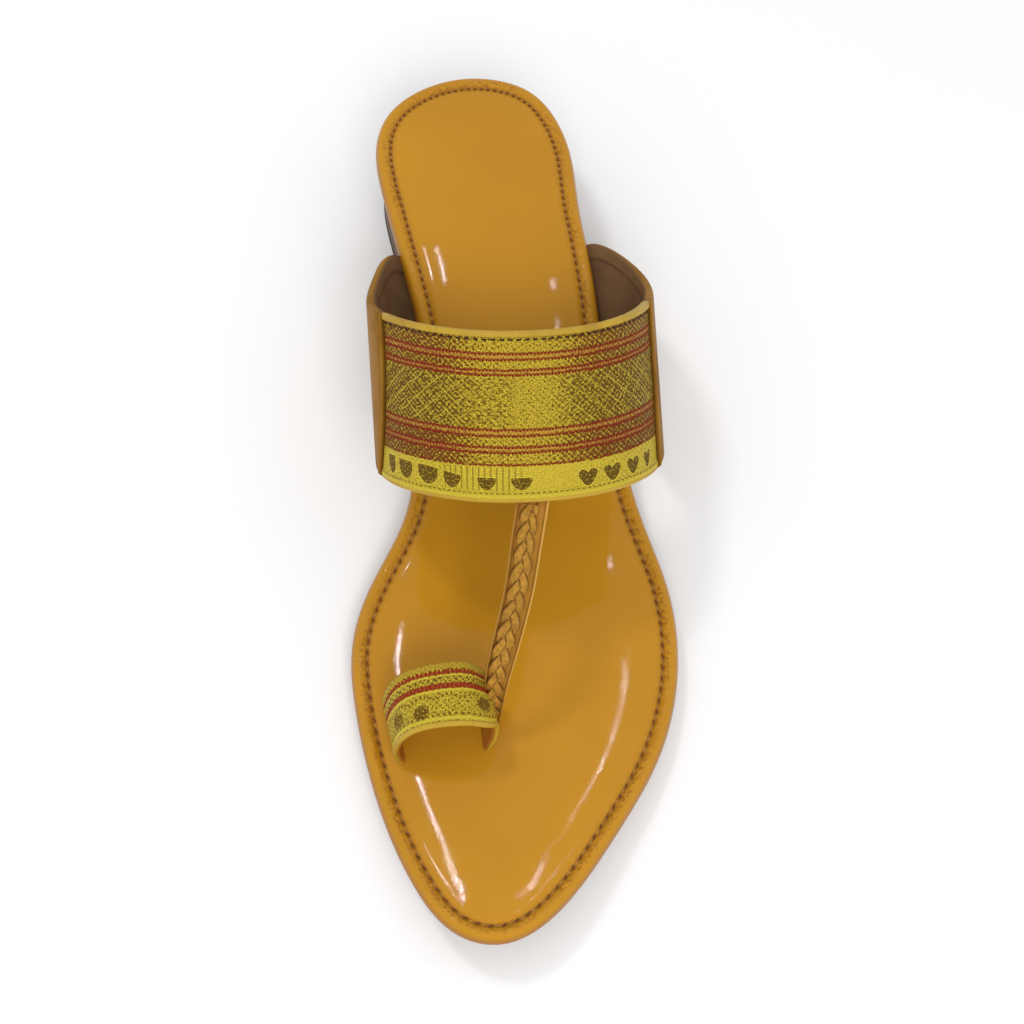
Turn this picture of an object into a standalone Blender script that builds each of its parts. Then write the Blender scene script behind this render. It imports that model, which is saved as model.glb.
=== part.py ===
"""A women's kolhapuri sandal for the left foot, standing on its sole.

A padded insole with a rolled edge lies on a thin outsole. A low stacked heel with its top piece
lifts the back. The upper is one wall: a wide band over the instep, a plaited strap down the middle
and a loop for the big toe.

Lengths are in millimetres and become metres when a mesh is made. X points to the outer side of the
foot, Y to the heel and Z up, with the floor at zero.
"""

from collections import namedtuple
from math import pi

import bmesh
import bpy
import numpy as np

MM = 0.001
CLEARANCE = 0.3

# The last: length, and the height of the insole's rolled edge above the floor.
LENGTH = 258.8
RIM_AT_BALL = 9.0
RIM_AT_HEEL = 30.0
ARCH_TOP = 0.20
ARCH_FOOT = 0.62
SPRING_START = 0.72
TOE_SPRING = 8.0
STATIONS = 40

# Insole: the rolled edge is a tube, with a stitched groove between it and the pad.
INSOLE_THICKNESS = 6.0
PAD_CROWN = 1.1
PAD_SHOULDER = 12.0
PAD_COLUMNS = 6

# Outsole and heel, set in from the rolled edge.
OUTSOLE_THICKNESS = 2.7
OUTSOLE_INSET = 1.8
HEEL_INSET_TOP = 2.6
HEEL_INSET_FLOOR = 1.9
BREAST_TOP = 60.0
BREAST_FLOOR = 64.0
BREAST_HOLLOW = 2.5
HEEL_LAYERS = 5
HEEL_GROOVE = 0.35
HEEL_POINTS = 36
BREAST_POINTS = 7
TOP_PIECE = 3.0

# Upper: wall thicknesses, and the steps on the wall's outer face.
BAND_WALL = 2.0
LOOP_WALL = 1.7
STRAP_WALL = 1.6
BINDING_STEP = 0.4
SIDE_STEP = 0.6
EDGE_ROUND = 0.45
TUCK = 11.0
TUCK_FADE = 12.0
TUCK_RISE = 0.6
SLOT_DEPTH = 3.6

# Plait on the middle strap. Places across are shares of the strap's half width.
PLAIT_PITCH = 5.1
PLAIT_HEIGHT = 1.3
PLAIT_SHARE = 0.68
PLAIT_OFFSET = -0.12
PLAIT_SLANT = 0.6
PLAIT_STEPS = 6
PLAIT_COLUMNS = (-0.7, -0.35, -0.04, 0.04, 0.35, 0.7)
PLAIT_LAST_POINT = 7
LIP_SHARE = 0.93
LIP_HEIGHT = 0.35
LIP_ROUND = 0.3

Station = namedtuple("Station", "along inner outer")
OUTLINE = (
    Station(0.000, 0.0, 0.0),
    Station(0.015, 15.5, 15.3),
    Station(0.050, 26.1, 23.4),
    Station(0.110, 29.9, 28.4),
    Station(0.180, 26.8, 30.0),
    Station(0.270, 21.3, 33.2),
    Station(0.360, 17.1, 35.8),
    Station(0.450, 18.9, 39.7),
    Station(0.530, 22.3, 44.7),
    Station(0.600, 31.1, 50.6),
    Station(0.670, 36.8, 53.1),
    Station(0.740, 36.2, 51.4),
    Station(0.810, 32.7, 45.2),
    Station(0.880, 27.2, 34.3),
    Station(0.940, 20.2, 23.2),
    Station(0.980, 12.6, 13.1),
    Station(1.000, 0.0, 0.0),
)

# The insole's edge: how far in from the outline, and how far below the top of the roll.
Edge = namedtuple("Edge", "inset drop")
INSOLE_EDGE = (
    Edge(3.0, 6.0),
    Edge(1.2, 5.6),
    Edge(0.25, 4.4),
    Edge(0.0, 3.0),
    Edge(0.4, 1.6),
    Edge(1.1, 0.5),
    Edge(2.2, 0.0),
    Edge(3.4, 0.35),
    Edge(4.5, 1.2),
    Edge(5.6, 0.55),
    Edge(7.6, 0.0),
)

# Each rim of a band that bends over the foot: the widest point on either side, and the crown.
Rim = namedtuple("Rim", "inner_foot inner crown outer outer_foot")
BAND_BACK = Rim(67.4, (-31.6, 42.0, 45.0), (6.5, 14.9, 74.0), (46.8, 45.2, 45.0), 71.0)
BAND_FRONT = Rim(14.0, (-29.1, -4.3, 34.0), (6.0, -25.8, 58.0), (48.4, -0.4, 34.0), 22.0)
LOOP_BACK = Rim((-26.3, -64.0), (-28.4, -65.0, 17.5), (-9.0, -59.2, 31.0), (0.2, -61.5, 21.0), (-1.5, -63.0))
LOOP_FRONT = Rim((-24.0, -80.2), (-25.4, -79.3, 16.5), (-9.7, -76.4, 31.0), (2.2, -74.0, 19.5), (-0.2, -77.0))

# Turns around a band, in degrees: 0 at the widest point inside, 90 at the crown.
SEAM_INNER = 25.5
SEAM_OUTER = 160.0
BAND_FOOT_TURN = 52.0
LOOP_FOOT_TURN = 38.0
TUCK_TURN = 44.0
SLOT_TURN = 22.0
BAND_STEP_TURN = 8.0
LOOP_STEP_TURN = 10.0

# Across a band, from its back rim at 0 to its front rim at 1: the bindings and the cloth between.
BACK_BINDING = 0.045
FRONT_BINDING = 0.94
BAND_COLUMNS = (0.0, 0.012, 0.035, BACK_BINDING, 0.055, 0.35, 0.65, 0.93, FRONT_BINDING, 0.962, 0.988, 1.0)
LOOP_COLUMNS = (0.0, 0.035, 0.1, 0.5, 0.87, 0.9, 0.965, 1.0)
LINING_COLUMNS = (0.985, 0.5, 0.015)

# The middle strap's upper face, from under the band to the slot in the insole.
StrapPoint = namedtuple("StrapPoint", "x y z width")
STRAP_PATH = (
    StrapPoint(12.3, -14.0, 61.0, 8.4),
    StrapPoint(10.9, -25.7, 56.0, 8.4),
    StrapPoint(9.2, -35.2, 52.2, 8.2),
    StrapPoint(7.6, -44.2, 47.6, 7.9),
    StrapPoint(5.4, -52.5, 41.9, 7.6),
    StrapPoint(3.0, -59.8, 35.1, 7.3),
    StrapPoint(1.6, -64.8, 27.4, 6.2),
    StrapPoint(1.5, -67.6, 19.0, 4.0),
    StrapPoint(1.3, -69.4, 10.5, 2.8),
    StrapPoint(1.2, -70.0, 6.2, 2.4),
)

PARTS = "Kolhapuri sandal"
HELPERS = "Helpers"


def clear_scene():
    for obj in list(bpy.data.objects):
        bpy.data.objects.remove(obj, do_unlink=True)
    for title in (PARTS, HELPERS):
        group = bpy.data.collections.new(title)
        bpy.context.scene.collection.children.link(group)


def smooth(knots, values, at):
    """The natural cubic spline through values, a row for each knot, read at each place in at."""
    knots, values, at = (np.asarray(a, float) for a in (knots, values, at))
    step = np.diff(knots)
    system, right = np.eye(len(knots)), np.zeros(values.shape)
    for i in range(1, len(knots) - 1):
        system[i, i - 1 : i + 2] = step[i - 1], 2 * (step[i - 1] + step[i]), step[i]
        after = (values[i + 1] - values[i]) / step[i]
        before = (values[i] - values[i - 1]) / step[i - 1]
        right[i] = 6 * (after - before)
    bend = np.linalg.solve(system, right)
    low = np.clip(np.searchsorted(knots, at, side="right") - 1, 0, len(step) - 1)
    column = (-1,) + (1,) * (values.ndim - 1)
    width = step[low].reshape(column)
    b = (at - knots[low]).reshape(column) / width
    a = 1 - b
    curve = ((a**3 - a) * bend[low] + (b**3 - b) * bend[low + 1]) * width**2 / 6
    return a * values[low] + b * values[low + 1] + curve


def ease(x):
    """0 below 0, 1 above 1, and a soft step between."""
    x = np.clip(x, 0, 1)
    return x * x * (3 - 2 * x)


def half_widths(turn):
    """Inner and outer half widths, at turns from 0 at the heel's back to pi / 2 at the toe's tip."""
    knots = np.arcsin(np.sqrt([s.along for s in OUTLINE]))
    return smooth(knots, [(s.inner, s.outer) for s in OUTLINE], turn)


def half_width_at(y, side):
    """How far the outline lies from the middle at y, on the inner (-1) or outer (1) side."""
    turn = np.arcsin(np.sqrt(0.5 - y / LENGTH))
    return half_widths(np.array([turn]))[0][0 if side < 0 else 1]


def rim_height(y):
    """The height of the top of the rolled edge."""
    along = 0.5 - np.asarray(y) / LENGTH
    arch = ease((ARCH_FOOT - along) / (ARCH_FOOT - ARCH_TOP))
    spring = np.clip((along - SPRING_START) / (1 - SPRING_START), 0, 1)
    return RIM_AT_BALL + (RIM_AT_HEEL - RIM_AT_BALL) * arch + TOE_SPRING * spring**2


def outline(turns, inset):
    """The outline from above at signed turns: outer side above 0, inner side below, moved inwards."""

    def plan(t):
        widths = half_widths(np.abs(t))
        x = np.where(t >= 0, widths[:, 1], -widths[:, 0])
        return np.column_stack([x, LENGTH / 2 * np.cos(2 * t)])

    turns = np.asarray(turns, float)
    nudge = 1e-3
    near = np.clip(turns, -pi / 2 + nudge, pi / 2 - nudge)
    run = plan(near + nudge) - plan(near - nudge)
    run[np.abs(turns) > pi / 2 - nudge] = (-1, 0)
    run /= np.linalg.norm(run, axis=1)[:, None]
    return plan(turns) + inset * np.column_stack([run[:, 1], -run[:, 0]])


def sole_turns():
    """Turns of a closed ring: heel, outer side, toe, inner side."""
    outer = np.linspace(0, pi / 2, STATIONS + 1)
    return np.concatenate([outer, -outer[-2:0:-1]])


def sole_ring(inset, drop):
    ring = outline(sole_turns(), inset)
    return np.column_stack([ring, rim_height(ring[:, 1]) - drop])


class Skin:
    """The points and faces of one closed surface, added ring by ring."""

    def __init__(self):
        self.points, self.faces = [], []

    def add(self, points):
        first = len(self.points)
        self.points.extend(map(tuple, points))
        return list(range(first, len(self.points)))

    def wall(self, low, high):
        """Quads between two closed rings of as many points."""
        for i in range(len(low)):
            j = (i + 1) % len(low)
            self.faces.append((low[i], low[j], high[j], high[i]))

    def rows(self, rows):
        """Quads between open rows of as many points."""
        for low, high in zip(rows, rows[1:]):
            for i in range(len(low) - 1):
                self.faces.append((low[i], low[i + 1], high[i + 1], high[i]))

    def fan(self, tip, row):
        for i in range(len(row) - 1):
            self.faces.append((tip, row[i], row[i + 1]))

    def across(self, tip, outer, inner, columns=0, lift=None):
        """Closes a ring by rows from its outer side to its inner one, and returns the last row."""
        rows = []
        for a, b in zip(outer, inner):
            start, end = np.array(self.points[a]), np.array(self.points[b])
            parts = 0.5 - np.cos(np.linspace(0, pi, columns + 2)[1:-1]) / 2
            middle = [start + (end - start) * t + (0, 0, lift(t, start, end)) for t in parts]
            rows.append([a] + self.add(middle) + [b])
        self.fan(tip, rows[0])
        self.rows(rows)
        return rows[-1]

    def make(self, name, group=PARTS):
        mesh = bpy.data.meshes.new(name)
        points = [tuple(c * MM for c in p) for p in self.points]
        mesh.from_pydata(points, [], self.faces)
        body = bmesh.new()
        body.from_mesh(mesh)
        bmesh.ops.recalc_face_normals(body, faces=body.faces)
        body.to_mesh(mesh)
        body.free()
        mesh.shade_smooth()
        obj = bpy.data.objects.new(name, mesh)
        bpy.data.collections[group].objects.link(obj)
        if group == HELPERS:
            obj.hide_render = True
            obj.display_type = "WIRE"
        return obj


def close_sole(skin, ring, columns=0, lift=None):
    """Closes a ring made with sole_turns, from the heel's back to the toe's tip."""
    outer, inner = ring[1:STATIONS], ring[: STATIONS : -1]
    last = skin.across(ring[0], outer, inner, columns, lift)
    skin.fan(ring[STATIONS], last)


def make_insole():
    skin = Skin()
    rings = [skin.add(sole_ring(e.inset, e.drop)) for e in INSOLE_EDGE]
    for low, high in zip(rings, rings[1:]):
        skin.wall(low, high)
    close_sole(skin, rings[0])

    ends = LENGTH / 2 - INSOLE_EDGE[-1].inset

    def crown(t, start, end):
        inwards = min(np.linalg.norm(end - start) * min(t, 1 - t), ends - abs(start[1]))
        return PAD_CROWN * (1 - (1 - min(1, inwards / PAD_SHOULDER)) ** 2)

    close_sole(skin, rings[-1], PAD_COLUMNS, crown)
    return skin.make("insole")


def outsole_top(y):
    return rim_height(y) - INSOLE_THICKNESS - CLEARANCE


def make_outsole():
    skin = Skin()
    top = INSOLE_THICKNESS + CLEARANCE
    profile = (
        Edge(OUTSOLE_INSET + 0.9, top + OUTSOLE_THICKNESS),
        Edge(OUTSOLE_INSET + 0.2, top + OUTSOLE_THICKNESS - 0.5),
        Edge(OUTSOLE_INSET, top + OUTSOLE_THICKNESS / 2),
        Edge(OUTSOLE_INSET + 0.1, top),
    )
    rings = [skin.add(sole_ring(e.inset, e.drop)) for e in profile]
    for low, high in zip(rings, rings[1:]):
        skin.wall(low, high)
    close_sole(skin, rings[0])
    close_sole(skin, rings[-1])
    return skin.make("outsole")


def heel_ring(inset, breast):
    """The heel from above: the outline up to the breast, then the breast's hollow front."""
    reach = np.arccos(2 * breast / LENGTH) / 2
    sides = outline(np.linspace(-reach, reach, HEEL_POINTS + 1), inset)
    parts = np.linspace(0, 1, BREAST_POINTS + 2)[1:-1, None]
    front = sides[-1] + (sides[0] - sides[-1]) * parts
    front[:, 1:] += BREAST_HOLLOW * (1 - (2 * parts - 1) ** 2)
    return np.vstack([sides, front])


def close_heel(skin, ring):
    middle = HEEL_POINTS // 2
    outer, inner = ring[middle + 1 : HEEL_POINTS + 1], ring[middle - 1 :: -1]
    skin.across(ring[middle], outer, inner)
    skin.faces.append(tuple(ring[HEEL_POINTS:] + ring[:1]))


def heel_block(name, bottom, top, grooves):
    """A stack between two heights. The top follows the outsole, and each groove parts two layers."""
    skin = Skin()
    full = outsole_top(LENGTH / 2) - OUTSOLE_THICKNESS - CLEARANCE

    def level(height, extra=0.0):
        part = height / full
        inset = HEEL_INSET_FLOOR + (HEEL_INSET_TOP - HEEL_INSET_FLOOR) * part + extra
        plan = heel_ring(inset, BREAST_FLOOR + (BREAST_TOP - BREAST_FLOOR) * part)
        roof = outsole_top(plan[:, 1]) - OUTSOLE_THICKNESS - CLEARANCE
        z = height - (full - roof) * part**3
        return skin.add(np.column_stack([plan, z]))

    rings = [level(bottom)]
    for i in range(1, grooves + 1):
        middle = bottom + (top - bottom) * i / (grooves + 1)
        rings += [level(middle - HEEL_GROOVE), level(middle, HEEL_GROOVE), level(middle + HEEL_GROOVE)]
    rings.append(level(top))
    for low, high in zip(rings, rings[1:]):
        skin.wall(low, high)
    close_heel(skin, rings[0])
    close_heel(skin, rings[-1])
    return skin.make(name)


def make_heel():
    top = outsole_top(LENGTH / 2) - OUTSOLE_THICKNESS - CLEARANCE
    return heel_block("heel", TOP_PIECE + CLEARANCE, top, HEEL_LAYERS - 1)


def make_top_piece():
    return heel_block("top_piece", 0.0, TOP_PIECE, 0)


def tucked(side, y):
    """A band's end, from under the insole round the rolled edge: turns past the foot and points."""
    edge, rim = half_width_at(y, side), float(rim_height(y))
    under = INSOLE_THICKNESS + BAND_WALL / 2 - TUCK_RISE
    bends = (
        (TUCK_TURN, edge - TUCK, under),
        (30.0, edge - TUCK / 2, under),
        (14.0, edge - 1.5, under - 0.2),
        (0.0, edge + 2.4, INSOLE_THICKNESS / 2 + 0.3),
    )
    return [(turn, (side * x, y, rim - drop)) for turn, x, drop in bends]


def slotted(side, place):
    """A loop's end, straight down into its slot in the insole."""
    rim = float(rim_height(place[1]))
    return [(SLOT_TURN, (*place, rim - SLOT_DEPTH)), (0.0, (*place, rim))]


def rim_side(end, widest, crown, foot_turn):
    """Turns and points from a hidden end, past the foot and the widest point, almost to the crown."""
    widest, crown, foot = np.array(widest), np.array(crown), np.array(end[-1][1])
    knots = [(-foot_turn - turn, point) for turn, point in end]
    half = np.radians(foot_turn) / 2
    flat = (1 - np.cos(half)) / (1 - np.cos(2 * half))
    rise = np.sin(half) / np.sin(2 * half)
    share = np.array([flat, rise, rise])
    knots.append((-foot_turn / 2, widest + (foot - widest) * share))
    for turn in (0.0, 30.0, 60.0):
        angle = np.radians(turn)
        share = np.array([np.cos(angle), 1 - np.sin(angle), 1 - np.sin(angle)])
        knots.append((turn, crown + (widest - crown) * share))
    return knots


def rim_curve(rim, foot_turn, end):
    """A function from turns to points on the rim. It bends up one side and down the other."""
    inner = rim_side(end(-1, rim.inner_foot), rim.inner, rim.crown, foot_turn)
    outer = rim_side(end(1, rim.outer_foot), rim.outer, rim.crown, foot_turn)
    knots = inner + [(90.0, rim.crown)] + [(180.0 - turn, point) for turn, point in reversed(outer)]
    turns, points = zip(*knots)
    return lambda at: smooth(turns, np.array(points, float), at)


def lengthened(row, extra):
    """A row of points with its two ends moved outwards."""
    row = row.copy()
    for end, beside in ((0, 1), (-1, -2)):
        way = row[end] - row[beside]
        row[end] += way / np.linalg.norm(way) * extra
    return row


def bent_band(name, back, front, turns, columns, relief, wall, grow=0.0):
    """A closed wall between two rims. Grown, it is the room that the wall needs in its neighbours."""
    back_row, front_row = lengthened(back(turns), grow), lengthened(front(turns), grow)
    back_run, front_run = np.gradient(back_row, axis=0), np.gradient(front_row, axis=0)
    skin, rings = Skin(), []
    for i, turn in enumerate(turns):
        across = front_row[i] - back_row[i]
        width = np.linalg.norm(across)

        def face(part, height):
            out = np.cross(across, back_run[i] + (front_run[i] - back_run[i]) * part)
            stretch = (part - 0.5) * 2 * grow * across / width
            return back_row[i] + across * part + stretch + out / np.linalg.norm(out) * height

        outer = [face(part, relief(turn, part) + grow) for part in columns]
        lining = [face(part, -wall - grow) for part in LINING_COLUMNS]
        rings.append(skin.add(outer + lining))
    for low, high in zip(rings, rings[1:]):
        skin.wall(low, high)
    skin.faces.append(tuple(rings[0]))
    skin.faces.append(tuple(rings[-1]))
    return skin.make(name, HELPERS)


def band_turns():
    """Even turns round the band, with close rows where the side leather ends."""
    reach = BAND_FOOT_TURN + TUCK_TURN
    even = np.arange(-reach, 181 + reach, BAND_STEP_TURN)
    seams = [SEAM_INNER - 1.6, SEAM_INNER - 0.5, SEAM_INNER + 0.4]
    seams += [SEAM_OUTER - 0.4, SEAM_OUTER + 0.5, SEAM_OUTER + 1.6]
    apart = [t for t in even if min(abs(t - s) for s in seams) > BAND_STEP_TURN / 3]
    return np.array(sorted(apart + seams))


def side_relief(turn):
    """The side leather's step, which fades where the band turns in under the insole."""
    below = min(turn, 180 - turn) + BAND_FOOT_TURN + TUCK_FADE
    return SIDE_STEP * float(ease(below / TUCK_FADE))


def band_relief(turn, part):
    """The side leather and the two bindings stand proud of the cloth."""
    beside = max(SEAM_INNER - turn, turn - SEAM_OUTER)
    side = side_relief(turn) * float(ease(beside / 1.4))
    bound = (part <= BACK_BINDING or part >= FRONT_BINDING) and beside < 0
    edge = EDGE_ROUND if part in (0.0, 1.0) else 0.0
    return max(side, BINDING_STEP if bound else 0.0) - edge


def band_room_relief(turn, part):
    return side_relief(turn)


def loop_relief(turn, part):
    edge = EDGE_ROUND if part in (0.0, 1.0) else 0.0
    return (BINDING_STEP * 0.7 if part >= 0.9 else 0.0) - edge


def loop_room_relief(turn, part):
    return BINDING_STEP


def band(name, relief=band_relief, grow=0.0):
    back, front = (rim_curve(rim, BAND_FOOT_TURN, tucked) for rim in (BAND_BACK, BAND_FRONT))
    return bent_band(name, back, front, band_turns(), BAND_COLUMNS, relief, BAND_WALL, grow)


def loop(name, relief=loop_relief, grow=0.0):
    back, front = (rim_curve(rim, LOOP_FOOT_TURN, slotted) for rim in (LOOP_BACK, LOOP_FRONT))
    reach = LOOP_FOOT_TURN + SLOT_TURN
    turns = np.linspace(-reach, 180 + reach, round((180 + 2 * reach) / LOOP_STEP_TURN) + 1)
    return bent_band(name, back, front, turns, LOOP_COLUMNS, relief, LOOP_WALL, grow)


def plait_height(along, side):
    """Three strands crossing: lozenges in two columns, half a pitch apart, slanting to the middle."""
    phase = along / PLAIT_PITCH - PLAIT_SLANT * abs(side) + (0.5 if side > 0 else 0.0)
    part = phase % 1.0
    bulge = 0.35 + 0.65 * (4 * part * (1 - part)) ** 0.5
    return PLAIT_HEIGHT * bulge * (1 - side**4) ** 0.5


def plain_section(along, woven):
    """The strap's upper face: places across in shares of the half width, and heights."""
    return [(-1.0, LIP_HEIGHT), (1.0, LIP_HEIGHT)]


def plaited_section(along, woven):
    """The same face with the plait, and a lip along each edge."""
    inner, outer = PLAIT_OFFSET - PLAIT_SHARE, PLAIT_OFFSET + PLAIT_SHARE
    strands = [(PLAIT_OFFSET + PLAIT_SHARE * c, plait_height(along, c) * woven) for c in PLAIT_COLUMNS]
    inner_edge = [(-1.0, -LIP_ROUND), (-LIP_SHARE, LIP_HEIGHT), (inner - 0.01, 0.0)]
    outer_edge = [(outer + 0.01, 0.0), (0.84, 0.0), (LIP_SHARE, LIP_HEIGHT), (1.0, -LIP_ROUND)]
    return inner_edge + strands + outer_edge


def strap(name, section=plaited_section, steps=PLAIT_STEPS, grow=0.0):
    """The middle strap. Its plait runs from the band to the toe loop."""
    knots = np.array(STRAP_PATH)
    hops = np.linalg.norm(np.diff(knots[:, :3], axis=0), axis=1)
    lengths = np.concatenate([[0], np.cumsum(hops)])
    places = np.linspace(0, lengths[-1], round(lengths[-1] / PLAIT_PITCH * steps) + 1)
    path = smooth(lengths, knots, places)
    path[:, :3] = lengthened(path[:, :3], grow)
    run = np.gradient(path[:, :3], axis=0)
    run /= np.linalg.norm(run, axis=1)[:, None]
    skin, rings = Skin(), []
    for place, point, way in zip(places, path, run):
        side = np.array([1.0, 0, 0]) - way * way[0]
        side /= np.linalg.norm(side)
        up = np.cross(way, side)
        half = point[3] / 2 + grow
        woven = lengths[1] < place < lengths[PLAIT_LAST_POINT]
        top = [(share, height + grow) for share, height in section(place, woven)]
        under = [(1.0, -STRAP_WALL - grow), (-1.0, -STRAP_WALL - grow)]
        rings.append(skin.add([point[:3] + side * share * half + up * h for share, h in top + under]))
    for low, high in zip(rings, rings[1:]):
        skin.wall(low, high)
    skin.faces.append(tuple(rings[0]))
    skin.faces.append(tuple(rings[-1]))
    return skin.make(name, HELPERS)


def boolean(target, other, operation):
    change = target.modifiers.new(other.name, "BOOLEAN")
    change.operation = operation
    change.solver = "EXACT"
    change.object = other


def make_upper():
    """The band, the strap and the loop as one wall, joined where they cross."""
    upper = band("upper")
    bpy.data.collections[HELPERS].objects.unlink(upper)
    bpy.data.collections[PARTS].objects.link(upper)
    upper.hide_render = False
    upper.display_type = "TEXTURED"
    boolean(upper, strap("middle_strap"), "UNION")
    boolean(upper, loop("toe_loop"), "UNION")
    return upper


def finish_material(obj, colour, roughness, coat=0.0):
    material = bpy.data.materials.new(obj.name)
    material.use_nodes = True
    shader = material.node_tree.nodes["Principled BSDF"]
    shader.inputs["Base Color"].default_value = (*colour, 1)
    shader.inputs["Roughness"].default_value = roughness
    shader.inputs["Metallic"].default_value = 0.0
    shader.inputs["Coat Weight"].default_value = coat
    obj.data.materials.append(material)


def centre(objects):
    """Moves the meshes so that the middle of the whole lies over the origin."""
    bpy.context.view_layer.update()
    corners = [obj.matrix_world @ v.co for obj in objects for v in obj.data.vertices]
    middle = [(max(c[k] for c in corners) + min(c[k] for c in corners)) / 2 for k in (0, 1)]
    for obj in bpy.data.objects:
        for vertex in obj.data.vertices:
            vertex.co.x -= middle[0]
            vertex.co.y -= middle[1]


def main():
    clear_scene()
    insole, outsole = make_insole(), make_outsole()
    heel, top_piece = make_heel(), make_top_piece()
    upper = make_upper()
    band_room = band("band_room", band_room_relief, CLEARANCE)
    loop_room = loop("loop_room", loop_room_relief, CLEARANCE)
    strap_room = strap("strap_room", plain_section, 2, CLEARANCE)
    for room in (band_room, loop_room, strap_room):
        boolean(insole, room, "DIFFERENCE")
    boolean(outsole, band_room, "DIFFERENCE")
    finish_material(insole, (0.51, 0.24, 0.02), 0.2, 0.8)
    finish_material(outsole, (0.12, 0.06, 0.025), 0.6)
    finish_material(heel, (0.16, 0.09, 0.045), 0.55)
    finish_material(top_piece, (0.04, 0.03, 0.025), 0.7)
    finish_material(upper, (0.48, 0.36, 0.03), 0.45)
    centre([insole, outsole, heel, top_piece, upper])


main()
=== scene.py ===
"""The looks of a kolhapuri sandal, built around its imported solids.

Lengths in the tables are in millimetres. X points to the outer side of the foot, Y to the heel and
Z up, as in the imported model.
"""

from collections import namedtuple
from math import pi

import bmesh
import bpy
import numpy as np
from bpy.props import FloatProperty, FloatVectorProperty, PointerProperty
from mathutils import Matrix, Vector


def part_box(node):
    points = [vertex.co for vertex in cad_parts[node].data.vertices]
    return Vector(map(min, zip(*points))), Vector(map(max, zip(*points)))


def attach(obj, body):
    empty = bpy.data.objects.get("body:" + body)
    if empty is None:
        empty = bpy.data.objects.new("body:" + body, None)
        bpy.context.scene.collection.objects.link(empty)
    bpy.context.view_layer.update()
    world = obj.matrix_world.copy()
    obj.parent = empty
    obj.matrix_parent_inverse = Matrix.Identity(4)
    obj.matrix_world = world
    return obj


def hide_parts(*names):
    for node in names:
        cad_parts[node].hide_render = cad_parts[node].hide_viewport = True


bl_info = {
    "name": "Kolhapuri sandal",
    "version": (1, 0, 0),
    "blender": (4, 5, 0),
    "location": "3D View > Sidebar > Sandal",
    "description": "Builds a brocade and leather kolhapuri sandal around its packed solids",
    "category": "Add Mesh",
}

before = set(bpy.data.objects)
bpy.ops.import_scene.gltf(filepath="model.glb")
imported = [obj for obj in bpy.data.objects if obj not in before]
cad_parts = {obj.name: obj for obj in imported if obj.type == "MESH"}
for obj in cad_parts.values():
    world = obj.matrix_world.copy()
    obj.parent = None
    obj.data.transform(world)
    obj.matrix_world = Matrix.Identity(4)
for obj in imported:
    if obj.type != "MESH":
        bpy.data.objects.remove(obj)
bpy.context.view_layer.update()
BODY = "root"
MM = 0.001

# Texture coordinates are lengths over the surface: one unit is 100 mm.
UV_MM = 100.0

# The last: length, and the height of the insole's rolled edge above the floor.
LENGTH = 258.8
RIM_AT_BALL = 9.0
RIM_AT_HEEL = 30.0
ARCH_TOP = 0.20
ARCH_FOOT = 0.62
SPRING_START = 0.72
TOE_SPRING = 8.0
INSOLE_THICKNESS = 6.0
OUTSOLE_THICKNESS = 2.7
OUTSOLE_INSET = 1.8
CLEARANCE = 0.3

Station = namedtuple("Station", "along inner outer")
OUTLINE = (
    Station(0.000, 0.0, 0.0),
    Station(0.015, 15.5, 15.3),
    Station(0.050, 26.1, 23.4),
    Station(0.110, 29.9, 28.4),
    Station(0.180, 26.8, 30.0),
    Station(0.270, 21.3, 33.2),
    Station(0.360, 17.1, 35.8),
    Station(0.450, 18.9, 39.7),
    Station(0.530, 22.3, 44.7),
    Station(0.600, 31.1, 50.6),
    Station(0.670, 36.8, 53.1),
    Station(0.740, 36.2, 51.4),
    Station(0.810, 32.7, 45.2),
    Station(0.880, 27.2, 34.3),
    Station(0.940, 20.2, 23.2),
    Station(0.980, 12.6, 13.1),
    Station(1.000, 0.0, 0.0),
)

# The insole's edge: how far in from the outline, and how far below the top of the roll.
Edge = namedtuple("Edge", "inset drop")
INSOLE_EDGE = (
    Edge(3.0, 6.0),
    Edge(1.2, 5.6),
    Edge(0.25, 4.4),
    Edge(0.0, 3.0),
    Edge(0.4, 1.6),
    Edge(1.1, 0.5),
    Edge(2.2, 0.0),
    Edge(3.4, 0.35),
    Edge(4.5, 1.2),
    Edge(5.6, 0.55),
    Edge(7.6, 0.0),
)
GROOVE = Edge(4.5, 1.2)
PUCKER = 0.22
PUCKER_HALF = 1.7
PAD_CROWN = 1.1
PAD_SHOULDER = 12.0
HEEL_CENTRE = 100.0
TOE_CENTRE = -106.0

# How finely the skins of the sole are divided: over the edge, over the top and round the outline.
Fineness = namedtuple("Fineness", "edge top round")
INSOLE_FINENESS = Fineness(34, 14, 620)
OUTSOLE_FINENESS = Fineness(12, 3, 260)

# The stitches lengthen from the heel's back, at 0, to the toe's tip, at 1.
STITCH_GROWTH = ((0.0, 0.72), (0.15, 0.85), (0.4, 1.1), (1.0, 1.3))
STITCH_HEIGHT = 0.4

# A stitch beside the back binding: how much of the pitch it fills, its width and its height.
BAND_STITCH_SHARE = 0.66
BAND_STITCH_WIDTH = 0.5
BAND_STITCH_HEIGHT = 0.34

HEEL_INSET_TOP = 2.6
HEEL_INSET_FLOOR = 1.9
BREAST_TOP = 60.0
BREAST_FLOOR = 64.0
BREAST_HOLLOW = 2.5
HEEL_LAYERS = 5
TOP_PIECE = 3.0

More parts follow.
